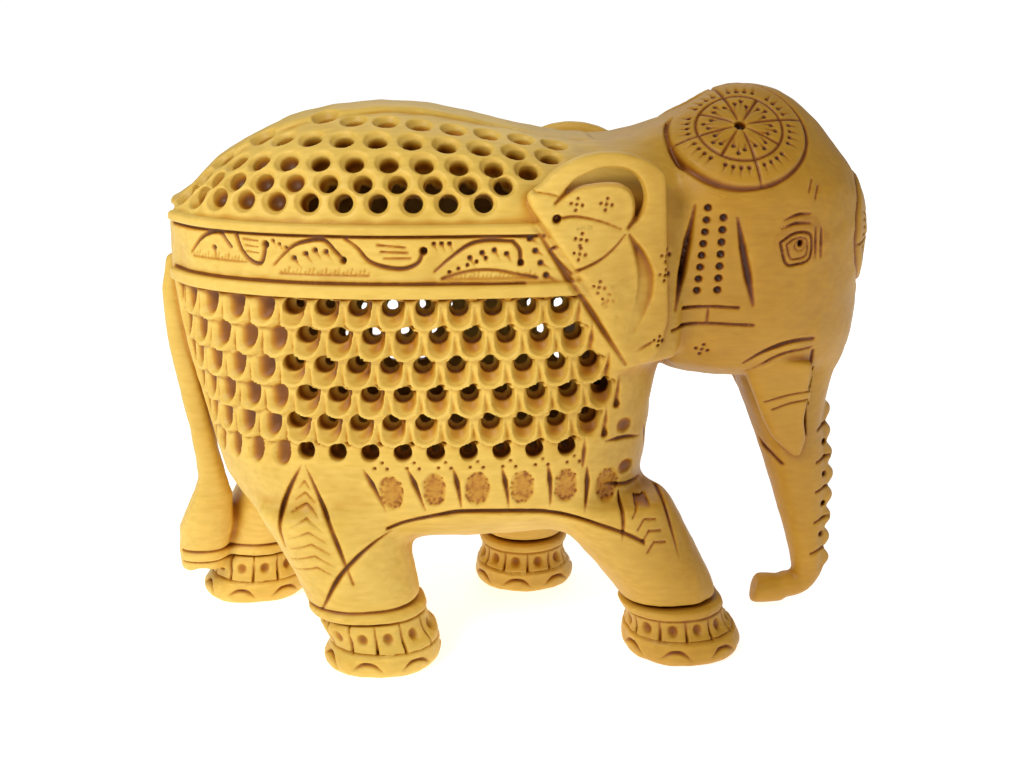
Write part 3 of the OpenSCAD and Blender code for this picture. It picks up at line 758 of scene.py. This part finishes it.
def foot_sheet(radius, ankle):
    """Ankle groove, ring, dimpled squares and toe arcs; along is the way round."""
    half = math.pi * radius
    sheet = Sheet((-half, 0), (half, ankle + 5))
    squares = 12
    low, mid = 4.7, ankle - 1.9
    cells, u, v = sheet.window((-half, mid), (half, ankle))
    sheet.raise_to(cells, 0.35 * np.clip(np.minimum(v - mid, ankle - v) / 0.4, 0, 1) + 0 * u)
    for v, width, deep in [(ankle + 0.4, 0.8, 0.45), (mid - 0.1, 0.5, 0.35), (low, 0.6, 0.3)]:
        sheet.groove([(-half, v), (half, v)], width, deep)
    for k in range(squares):
        u = -half + 2 * half * (k + 0.5) / squares
        sheet.scoop(u, (low + mid) / 2, 1.15, 1.15, 0.55)
        edge = u + half / squares
        sheet.groove([(edge, low), (edge + 0.2, mid)], [0.8, 0.4], [0.5, 0.3])
    for k in range(7):
        u = -half + 2 * half * (k + 0.5) / 7
        sheet.groove([(u - 3, 1.7), (u - 1, 2.9), (u + 1.2, 2.8), (u + 3, 1.4)],
                     [0.4, 0.9, 0.9, 0.4], [0.2, 0.6, 0.6, 0.2])
    return sheet


def thigh_sheet():
    """The veined leaf on a hind thigh and the curved line across it, measured from the foot's middle."""
    sheet = Sheet((-26, 8), (16, 46))
    sheet.groove([(-12.8, 39.6), (-15.4, 34), (-17, 28.6), (-16.4, 24)],
                 [0.3, 1.1, 1.0, 0.4], [0.2, 0.8, 0.7, 0.2])
    sheet.groove([(-12.2, 39.6), (-9.6, 32.5), (-6.8, 24.5), (-4.6, 18)],
                 [0.3, 1.0, 1.1, 0.5], [0.2, 0.7, 0.8, 0.3])
    sheet.groove([(2.2, 26.8), (-3, 23.6), (-7.2, 19), (-10.4, 12.3)],
                 [0.3, 1.2, 1.2, 0.4], [0.2, 0.8, 0.9, 0.3])
    for k in range(8):
        v = 36.5 - 2.2 * k
        down = 39.6 - v
        left, right = -12.8 - min(0.38 * down, 4.0), -12.2 + 0.35 * down
        middle = 0.45 * left + 0.55 * right
        sheet.groove([(middle, v), (0.75 * left + 0.25 * middle, v - 1.6)], [0.5, 0.3], [0.35, 0.2])
        sheet.groove([(middle, v), (0.75 * right + 0.25 * middle, v - 1.9)], [0.5, 0.3], [0.35, 0.2])
    return sheet


def shoulder_sheet():
    """Lines, dimples and a stack of chevrons on a shoulder; along and up are plain x and z."""
    sheet = Sheet((11, 14), (34, 50))
    for u, v in [(17.7, 44.6), (18.4, 36.2)]:
        sheet.scoop(u, v, 1.5, 1.5, 0.8)
    for path in [[(14.2, 42.4), (18, 42.2), (21.2, 41.2)], [(14.4, 33.8), (18.5, 32.6), (22.3, 31.6)],
                 [(22.2, 42.5), (24.8, 32), (27.8, 20.3)], [(17.2, 31.8), (17.4, 28), (17.3, 24.4)]]:
        sheet.groove(path, [0.4, 1.0, 0.8, 0.3], [0.3, 0.7, 0.6, 0.2])
    for k in range(4):
        u, v = 20.2 + 0.9 * k, 30.0 - 2.1 * k
        sheet.groove([(u - 1.1, v - 1.6), (u, v), (u + 0.2, v + 0.1), (u + 2.3, v - 0.2)], 0.5, 0.4)
    return sheet


# ---- Carving ----

# How far a node's skin is drawn in as it joins the body, or pushed out if below zero.
INSETS = {"anklet": 0.7, "tail": -0.35, "spine": -0.4}


def grow(field, node, blend, carved=None, soft=0.45, inset=0.0):
    """Adds a node's own wood to the figure, carved first if a carver is given."""
    low, high = box(node)
    part = field.part(low - 5, high + 5)
    origin = [field.low[i] + field.step * part[i].start for i in range(3)]
    values = field.values[part]
    rough = Field(COARSE, values=blur(coarse(node), soft / COARSE))
    local = Field(field.step, low=origin, high=origin)
    local.shape = values.shape
    local.values = refine(rough, origin, field.step, values.shape)
    local.values += np.float32(inset)
    local.stain_and_shading = np.zeros(values.shape, dtype=np.float32)
    if carved is not None:
        carved(local)
    stain_and_shading = field.stain_and_shading[part]
    stain_and_shading[:] = np.where(local.values < values + 0.2, local.stain_and_shading, stain_and_shading)
    field.values[part] = smooth_union(values, local.values, blend)


def carve_ear(side):
    sheet = ear_sheet()

    def carved(field):
        low, high = box("ear_" + side)
        engrave(field, sheet, low - 2, high + 2, lambda x, y, z: (x, z),
                keep=lambda x, y, z: np.abs(y) > ear_middle(x) - 1.6)
    return carved


def ear_middle(x):
    """How far out the middle of the ear's thickness is, at each x."""
    low, high = box("ear_left")
    return np.interp(x, [low[0], high[0]], [high[1] - 1.2, low[1] + 1.2])


def carve_temples(field):
    """The wheels on the temples, laid on a slanting plane on either side of the crown."""
    tilt = math.radians(39)
    centre = np.array([37.8, 12.7, 95.6])
    reach = np.array([14, 0, 14])
    far_side = 28

    def flat(x, y, z):
        return x - centre[0], (z - centre[2]) * math.cos(tilt) - (np.abs(y) - centre[1]) * math.sin(tilt)

    def outer(x, y, z):
        out = (np.abs(y) - centre[1]) * math.cos(tilt) + (z - centre[2]) * math.sin(tilt)
        return out > -7
    low = np.array([centre[0], -far_side, centre[2]]) - reach
    high = np.array([centre[0], far_side, centre[2]]) + reach
    engrave(field, wheel_sheet(11.7), low, high, flat, outer)


def from_front(x, y, z):
    """Flat as the figure is met head on."""
    return y, z


def carve_forehead(field):
    """The wheel on the forehead, and the shield below it."""
    low, high = box("forehead_medallion")
    hub_height = 76.0
    engrave(field, wheel_sheet(10.4), np.append(low[0] - 10, low[1:] - 3), high + 3,
            lambda x, y, z: (y, z - hub_height))
    engrave(field, shield_sheet(), np.array([52, -11, 46]), np.array([70, 11, 67]), from_front)


def carve_foot(field, leg):
    """The foot's sheet is wrapped round a leaning post from the sole's middle to the bangle's."""
    anklet_low, anklet_high = box("anklet_" + leg)
    foot_low, foot_high = box("foot_" + leg)
    centre = (foot_low + foot_high) / 2
    lean = (anklet_low + anklet_high) / 2 - centre
    radius = (foot_high[1] - foot_low[1]) / 2

    def flat(x, y, z):
        up = np.clip(z / 10, 0, 1.4)
        turn = np.arctan2(y - centre[1] - lean[1] * up, x - centre[0] - lean[0] * up)
        return turn * radius, z
    top = anklet_high[2]
    engrave(field, foot_sheet(radius, top), foot_low - 2, np.append(foot_high[:2] + 2, top + 4), flat)


# The front hole of each row on the back, along the barrel, by the row's rise in degrees.
BACK_FRONTS = {12: 3.4, 23: 6.7, 34.5: 11.1, 48: 15.0, 62: 16.5}
BACK_PITCH = 5.75
BACK_BLIND_FROM = -26                   # behind this the holes are only scoops
STEEPEST = 60                           # and so they are in rows that rise more than this
MOUTH_RADIUS = 2.62                     # of the shallow bowl round each back hole
NICK_RADIUS = 0.7
THROUGH = 7.0                           # far enough to leave the wall behind


def carve_back(field):
    """Rows of round holes over the back, scooped at the mouth; the high and the rear ones stay blind."""
    across = -box("back_lattice_right")[0][1]
    high = box("spine_ridge")[1][2] - RAIL_TOP
    for rise, front in BACK_FRONTS.items():
        level, upright = math.cos(math.radians(rise)), math.sin(math.radians(rise))
        shrink = level ** 0.9
        for u in np.arange(front, RUMP * shrink + 3, -BACK_PITCH):
            for side in SIDES.values():
                place, out = barrel_place(u / shrink, side)
                out = np.append(out * level / across, upright / high)
                out /= np.linalg.norm(out)
                target = np.array([MIDDLE + (place[0] - MIDDLE) * shrink, place[1] * level,
                                   RAIL_TOP + high * upright])
                mouth = first_hit(field, target + 9 * out, -out)
                if mouth is None:
                    continue
                depth = 1.0 if u < BACK_BLIND_FROM or rise > STEEPEST else THROUGH
                nick = np.array([0, -side * upright, level])
                drill(field, mouth + 1.45 * out, mouth + 1.2 * out, MOUTH_RADIUS)
                drill(field, mouth + 0.3 * out, mouth + 0.45 * out + 2.6 * nick, NICK_RADIUS)
                drill(field, mouth, mouth - depth * out, HOLE_RADIUS)


def carve_flank_holes(field):
    """A wide bore behind each scale's top, and a narrow slanting one through the wall."""
    slant = np.array([0, 0, -0.6])
    for row in range(len(FRONT_HOLES)):
        centre = row_top(row) - (1.75 if row == 0 else 1.45)
        for station in hole_stations(row):
            if station < BLIND_FROM:
                continue
            for side in SIDES.values():
                place, out = barrel_place(station, side)
                out = np.append(out, 0.0)
                mouth = first_hit(field, np.append(place, centre) + 6 * out, -out)
                if mouth is not None:
                    drill(field, mouth + 2.0 * out, mouth - 1.6 * out, HOLE_RADIUS)
                    drill(field, mouth, mouth - 7.5 * out + slant, 0.5 * HOLE_RADIUS)


def hand_waver(field):
    """The slight waves a knife leaves everywhere."""
    rng = np.random.default_rng(3)
    for pitch, height in [(2.6, 0.085), (1.1, 0.03)]:
        waves = Field(pitch)
        waves.values = rng.normal(0, 1, waves.shape).astype(np.float32) * np.float32(height * 2)
        field.values += refine(waves, field.low, field.step, field.shape)


def outer_skin(x, y, z):
    """The barrel's outside, clear of the tail and of the hind thighs."""
    skin, tail_half, thigh_top, thigh_front = 2.7, 7, 30, MIDDLE - 14
    outside = BARREL_FIELD.sample(np.stack([x, y, z], axis=1)) > -skin
    return outside & (np.abs(y) > tail_half) & ((z > thigh_top) | (x > thigh_front))


def from_side(x, y, z):
    """Flat as the figure is met from either side."""
    return x, z


def carve_barrel(field):
    """The engraving comes first, so that it doesn't widen the holes."""
    front = box("flank_lattice_right")[1][0] + 8
    engrave(field, barrel_sheet(), np.array([WHOLE_LOW[0], WHOLE_LOW[1], 18]),
            np.array([front, WHOLE_HIGH[1], RAIL_TOP + 1]), barrel_flat, outer_skin)
    carve_flank_holes(field)
    carve_back(field)


def carve_head(field):
    engrave(field, head_sheet(), np.array([20.5, WHOLE_LOW[1], 2]), WHOLE_HIGH, from_side,
            lambda x, y, z: np.abs(y) > 2.0)
    carve_temples(field)
    carve_forehead(field)


def carve_thigh(field, side):
    low, high = box("leg_rear_" + side)
    foot_low, foot_high = box("foot_rear_" + side)
    middle = (foot_low[0] + foot_high[0]) / 2

    def from_foot(x, y, z):
        return x - middle, z

    def outside(x, y, z):
        return (SIDES[side] * y > 11) & (z > 11.8)
    engrave(field, thigh_sheet(), np.append(low[:2] - 4, 8), np.append(high[:2] + 4, 41), from_foot, outside)


def carve_shoulders(field):
    engrave(field, shoulder_sheet(), np.array([11, WHOLE_LOW[1], 14]), np.array([34, WHOLE_HIGH[1], 50]),
            from_side, lambda x, y, z: np.abs(y) > 10)


def saw_flat(field):
    """Cuts the soles off at the ground."""
    height = field.axes()[2].astype(np.float32)
    np.maximum(field.values, -height, out=field.values)


def carve():
    """The whole figure on the fine grid, carved."""
    fine = Field(VOXEL)
    fine.values = refine(BODY, fine.low, VOXEL, fine.shape)
    fine.stain_and_shading = np.zeros(fine.shape, dtype=np.float32)
    for node, blend in GROWN.items():
        grow(fine, node, blend, inset=INSETS.get(node.split("_")[0], 0.0))
    hand_waver(fine)
    carve_barrel(fine)
    for side in SIDES:
        grow(fine, "ear_" + side, EAR_BLEND, carve_ear(side))
    carve_head(fine)
    for leg in LEGS:
        carve_foot(fine, leg)
    for side in SIDES:
        carve_thigh(fine, side)
    carve_shoulders(fine)
    saw_flat(fine)
    return fine


# How softly each node joins the body. The ears join later, once the barrel behind them is carved.
EAR_BLEND = 0.5
GROWN = {"spine_ridge": 0.4, "trunk_ridge": 0.5, "trunk_tip": 1.2, "tail": 0.8, "tail_tuft": 1.0}
GROWN.update({"tusk_" + side: 0.6 for side in SIDES})
for leg in LEGS:
    GROWN["anklet_" + leg] = 2.0
    GROWN["foot_" + leg] = 3.0


CARVED = carve()
# A blurred copy of the carving, used only to find where to paint shade in crevices and a highlight on proud
# edges.
SOFTENED = Field(VOXEL, values=blur(CARVED.values, 0.9 / VOXEL))


# ---- Meshes ----

def project(points, field):
    """Moves points on to a field's zero level, by a grid step at most."""
    value = field.sample(points)
    slope = field.slope(points)
    size = np.maximum((slope * slope).sum(axis=1), 0.05)
    move = slope * (value / size)[:, None]
    length = np.maximum(np.linalg.norm(move, axis=1, keepdims=True), 1e-9)
    return points - move * np.minimum(1, VOXEL / length)


def node_piece(node):
    """One closed mesh: the carved wood that belongs to a node."""
    low, high = box(node)
    part = CARVED.part(low - 4.0, high + 4.0)
    origin = np.array([CARVED.low[i] + VOXEL * part[i].start for i in range(3)])
    wood = CARVED.values[part]
    share = Field(VOXEL, low=origin, high=origin, values=None)
    share.values = refine(SHARES[node], origin, VOXEL, wood.shape)
    both = np.maximum(wood, share.values)
    grid = vdb.FloatGrid(VOXEL * 3)
    grid.copyFromArray(np.ascontiguousarray(np.clip(both, -3 * VOXEL, 3 * VOXEL)))
    points, quads = grid.convertToQuads(0.0)
    points = points.astype(float) * VOXEL + origin
    on_skin = share.sample(points) < -0.8 * VOXEL
    on_cut = (CARVED.sample(points) > -0.9 * VOXEL) & ~on_skin
    points[on_skin] = project(points[on_skin], CARVED)
    for _ in range(3):
        points[on_cut] = project(points[on_cut], share)
        points[on_cut] = project(points[on_cut], CARVED)
    return points, quads[:, ::-1], np.where(on_skin | on_cut, stain_and_painted_light(points), 0), on_cut


def stain_and_painted_light(points):
    """How dark the wood is painted: painted highlight on proud edges below zero; painted shade in crevices
    and deep in the hollow, and staining and painted shade in knife cuts, up to one.
    """
    # Crevices get painted shade and proud edges a painted highlight.
    hollow = -SOFTENED.sample(points)
    # Painted shade deep inside the hollow barrel, behind the holes.
    deep = np.clip((-BODY.sample(points) - 1.3) / 2.2, 0, 1)
    cut = trilinear(CARVED.stain_and_shading, (points - CARVED.low) / CARVED.step)
    return np.clip(np.maximum(0.9 * cut, 0.9 * deep) + np.clip(1.3 * hollow, EDGE_HIGHLIGHT, 0.45), EDGE_HIGHLIGHT, 1)


def add_piece(node):
    """The visible piece of a node, with its staining and painted shading on the points and its cut edges
    left sharp.
    """
    points, quads, stain_and_shading, on_cut = node_piece(node)
    mesh = bpy.data.meshes.new("carved_" + node)
    mesh.vertices.add(len(points))
    mesh.vertices.foreach_set("co", (points * MM).astype(np.float32).ravel())
    mesh.loops.add(quads.size)
    mesh.loops.foreach_set("vertex_index", quads.astype(np.int32).ravel())
    mesh.polygons.add(len(quads))
    mesh.polygons.foreach_set("loop_start", np.arange(0, quads.size, 4, dtype=np.int32))
    mesh.polygons.foreach_set("use_smooth", np.ones(len(quads), dtype=bool))
    mesh.update(calc_edges=True)
    layer = mesh.attributes.new("stain_and_shading", "FLOAT", "POINT")
    layer.data.foreach_set("value", stain_and_shading.astype(np.float32))
    edges = np.empty(len(mesh.edges) * 2, dtype=np.int32)
    mesh.edges.foreach_get("vertices", edges)
    edges = edges.reshape(-1, 2)
    crisp = mesh.attributes.new("sharp_edge", "BOOLEAN", "EDGE")
    crisp.data.foreach_set("value", on_cut[edges[:, 0]] & on_cut[edges[:, 1]])
    piece = bpy.data.objects.new("carved_" + node, mesh)
    bpy.context.scene.collection.objects.link(piece)
    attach(piece, "root")
    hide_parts(node)
    return piece


# ---- Wood ----

def set_inputs(shader, values):
    for name, value in values.items():
        shader.inputs[name].default_value = value


def noise(nodes, links, place, scale, detail):
    made = nodes.new("ShaderNodeTexNoise")
    set_inputs(made, {"Scale": scale, "Detail": detail})
    links.new(place, made.inputs["Vector"])
    return made.outputs["Fac"]


def grain_noise(nodes, links, place, seed):
    """Fine streaks that run along the figure."""
    stretch = nodes.new("ShaderNodeMapping")
    set_inputs(stretch, {"Location": (seed, seed * 0.7, seed * 0.3), "Scale": (60, 260, 260)})
    links.new(place, stretch.inputs["Vector"])
    return noise(nodes, links, stretch.outputs["Vector"], 4, 6)


def weighed(nodes, links, first, second, share):
    """The sum of two values, with the first one's share of it."""
    rest = nodes.new("ShaderNodeMath")
    rest.operation = "MULTIPLY"
    rest.inputs[1].default_value = 1 - share
    links.new(second, rest.inputs[0])
    total = nodes.new("ShaderNodeMath")
    total.operation = "MULTIPLY_ADD"
    total.inputs[1].default_value = share
    links.new(first, total.inputs[0])
    links.new(rest.outputs[0], total.inputs[2])
    return total.outputs[0]


def colour_ramp(nodes, links, value, stops):
    """Colours at positions along a value, given as (position, colour) from low to high."""
    made = nodes.new("ShaderNodeValToRGB")
    elements = made.color_ramp.elements
    for element, (position, colour) in zip(elements, [stops[0], stops[-1]]):
        element.position = position
        element.color = (*colour, 1)
    for position, colour in stops[1:-1]:
        elements.new(position).color = (*colour, 1)
    links.new(value, made.inputs["Fac"])
    return made.outputs["Color"]


def map_range(nodes, links, value, **settings):
    made = nodes.new("ShaderNodeMapRange")
    for name, setting in settings.items():
        made.inputs[name.replace("_", " ").title()].default_value = setting
    links.new(value, made.inputs["Value"])
    return made


def tinted(nodes, links, colour, tint):
    """A colour node that multiplies a colour by a tint, with its factor left to be set."""
    made = nodes.new("ShaderNodeMix")
    made.data_type = "RGBA"
    made.blend_type = "MULTIPLY"
    made.inputs["Factor"].default_value = 1
    links.new(colour, made.inputs["A"])
    if isinstance(tint, tuple):
        made.inputs["B"].default_value = (*tint, 1)
    else:
        links.new(tint, made.inputs["B"])
    return made


def stain_and_shading_colour(nodes, links):
    """Painted highlight makes proud edges lighter; knife cuts, crevices and deep holes go from amber to dark
    brown, as staining and painted shade.
    """
    stain_and_shading_source = nodes.new("ShaderNodeAttribute")
    stain_and_shading_source.attribute_name = "stain_and_shading"
    reach = map_range(nodes, links, stain_and_shading_source.outputs["Fac"], from_min=EDGE_HIGHLIGHT, from_max=1.0)
    # The first stop is a painted highlight for proud edges; the darkest stops are painted shade in deep
    # holes and cuts, with staining in the cuts.
    return colour_ramp(nodes, links, reach.outputs["Result"],
                       [(0.0, (1.1, 1.1, 1.1)), (0.2, (1, 1, 1)), (0.34, (0.86, 0.7, 0.38)),
                        (0.55, (0.62, 0.37, 0.1)), (0.78, (0.28, 0.13, 0.025)), (1.0, (0.07, 0.035, 0.02))])


def toward_head(nodes, links, place):
    """Zero at the barrel, and one from the ears forward, where the wood is tinted darker as painted shade.
    """
    apart = nodes.new("ShaderNodeSeparateXYZ")
    links.new(place, apart.inputs["Vector"])
    forward = map_range(nodes, links, apart.outputs["X"], from_min=-0.005, from_max=0.035)
    forward.interpolation_type = "SMOOTHSTEP"
    return forward.outputs["Result"]


def wood_material(name, pale, golden, seed):
    material = bpy.data.materials.new(name)
    material.use_nodes = True
    nodes, links = material.node_tree.nodes, material.node_tree.links
    shader = nodes["Principled BSDF"]
    place = nodes.new("ShaderNodeTexCoord").outputs["Object"]
    grain = grain_noise(nodes, links, place, seed)
    tone = weighed(nodes, links, grain, noise(nodes, links, place, 38, 3), 0.45)
    colours = colour_ramp(nodes, links, tone, [(0.32, golden), (0.68, pale)])
    stained_and_shaded = tinted(nodes, links, colours, stain_and_shading_colour(nodes, links))
    # Painted shade: the head and neck are tinted darker.
    head_shade = tinted(nodes, links, stained_and_shaded.outputs["Result"], (0.61, 0.47, 0.16))
    links.new(toward_head(nodes, links, place), head_shade.inputs["Factor"])
    links.new(head_shade.outputs["Result"], shader.inputs["Base Color"])
    shader.inputs["Specular IOR Level"].default_value = 0.35
    rough = map_range(nodes, links, tone, to_min=0.38, to_max=0.58)
    links.new(rough.outputs["Result"], shader.inputs["Roughness"])
    bump = nodes.new("ShaderNodeBump")
    set_inputs(bump, {"Strength": 0.25, "Distance": 0.0001})
    links.new(grain, bump.inputs["Height"])
    links.new(bump.outputs["Normal"], shader.inputs["Normal"])
    return material


# Slot: name, pale streaks, golden streaks, and a shift that keeps the grains apart.
MATERIALS = {
    "wood": wood_material("pale_wood", (0.78, 0.525, 0.11), (0.60, 0.36, 0.045), 0.0),
    "rubbed_wood": wood_material("rubbed_wood", (0.72, 0.48, 0.095), (0.59, 0.36, 0.05), 3.1),
    "stained_wood": wood_material("stained_wood", (0.70, 0.43, 0.07), (0.53, 0.295, 0.03), 6.4),
}
SLOTS = {s["node"]: s["material_slot"] for s in frame["record"]["subparts"]}
for node_name in NODES:
    made = add_piece(node_name)
    made.data.materials.append(MATERIALS[SLOTS[node_name]])


# ---- Floor, light and camera ----

def plain_material(name, colour, roughness):
    """An even material that glows enough to stay pale away from the lamps."""
    material = bpy.data.materials.new(name)
    material.use_nodes = True
    set_inputs(material.node_tree.nodes["Principled BSDF"],
               {"Base Color": (*colour, 1), "Roughness": roughness, "Emission Color": (*colour, 1),
                "Emission Strength": 0.79})
    return material


def add_floor():
    """Paper that runs so far past the figure that the photo's own view doesn't reach its edge."""
    half = 25.0
    mesh = bpy.data.meshes.new("studio_floor")
    corners = [(-half, -half, 0), (half, -half, 0), (half, half, 0), (-half, half, 0)]
    mesh.from_pydata(corners, [], [(0, 1, 2, 3)])
    mesh.materials.append(plain_material("paper_floor", (0.92, 0.92, 0.92), 0.9))
    floor = bpy.data.objects.new("studio_floor", mesh)
    bpy.context.scene.collection.objects.link(floor)


def add_light(name, place, target, size, power):
    """A square lamp aimed at the target. Places and sizes are in metres."""
    data = bpy.data.lights.new(name, "AREA")
    data.size = size
    data.energy = power
    light = bpy.data.objects.new(name, data)
    light.location = place
    aim = np.array(target) - np.array(place)
    light.rotation_mode = "QUATERNION"
    light.rotation_quaternion = Vector(aim).to_track_quat("-Z", "Y")
    bpy.context.scene.collection.objects.link(light)


def add_studio():
    add_floor()
    middle = (0, 0, 0.05)
    add_light("key_light", (-0.32, -0.34, 0.42), middle, 0.2, 1.85)
    add_light("fill_light", (0.6, -0.6, 0.3), middle, 0.6, 0.4)
    add_light("back_light", (0.1, 0.7, 0.6), middle, 0.6, 1.2)
    world = bpy.data.worlds.new("studio")
    world.use_nodes = True
    set_inputs(world.node_tree.nodes["Background"], {"Color": (1, 1, 1, 1), "Strength": 0.33})
    bpy.context.scene.world = world
    bpy.context.scene.view_settings.view_transform = "Standard"


def add_camera():
    azimuth, elevation = math.radians(-4.54), math.radians(16.67)
    away = 256.7 * MM
    target = Vector((-0.3, 0, 46.5)) * MM
    back = Vector((math.sin(azimuth) * math.cos(elevation), -math.cos(azimuth) * math.cos(elevation),
                   math.sin(elevation)))
    data = bpy.data.cameras.new("camera")
    data.lens = 48.16
    data.sensor_width = 36
    data.clip_start = 0.01
    camera = bpy.data.objects.new("camera", data)
    camera.location = target + back * away
    camera.rotation_mode = "QUATERNION"
    camera.rotation_quaternion = (-back).to_track_quat("-Z", "Y")
    bpy.context.scene.collection.objects.link(camera)
    bpy.context.scene.camera = camera


add_studio()
add_camera()
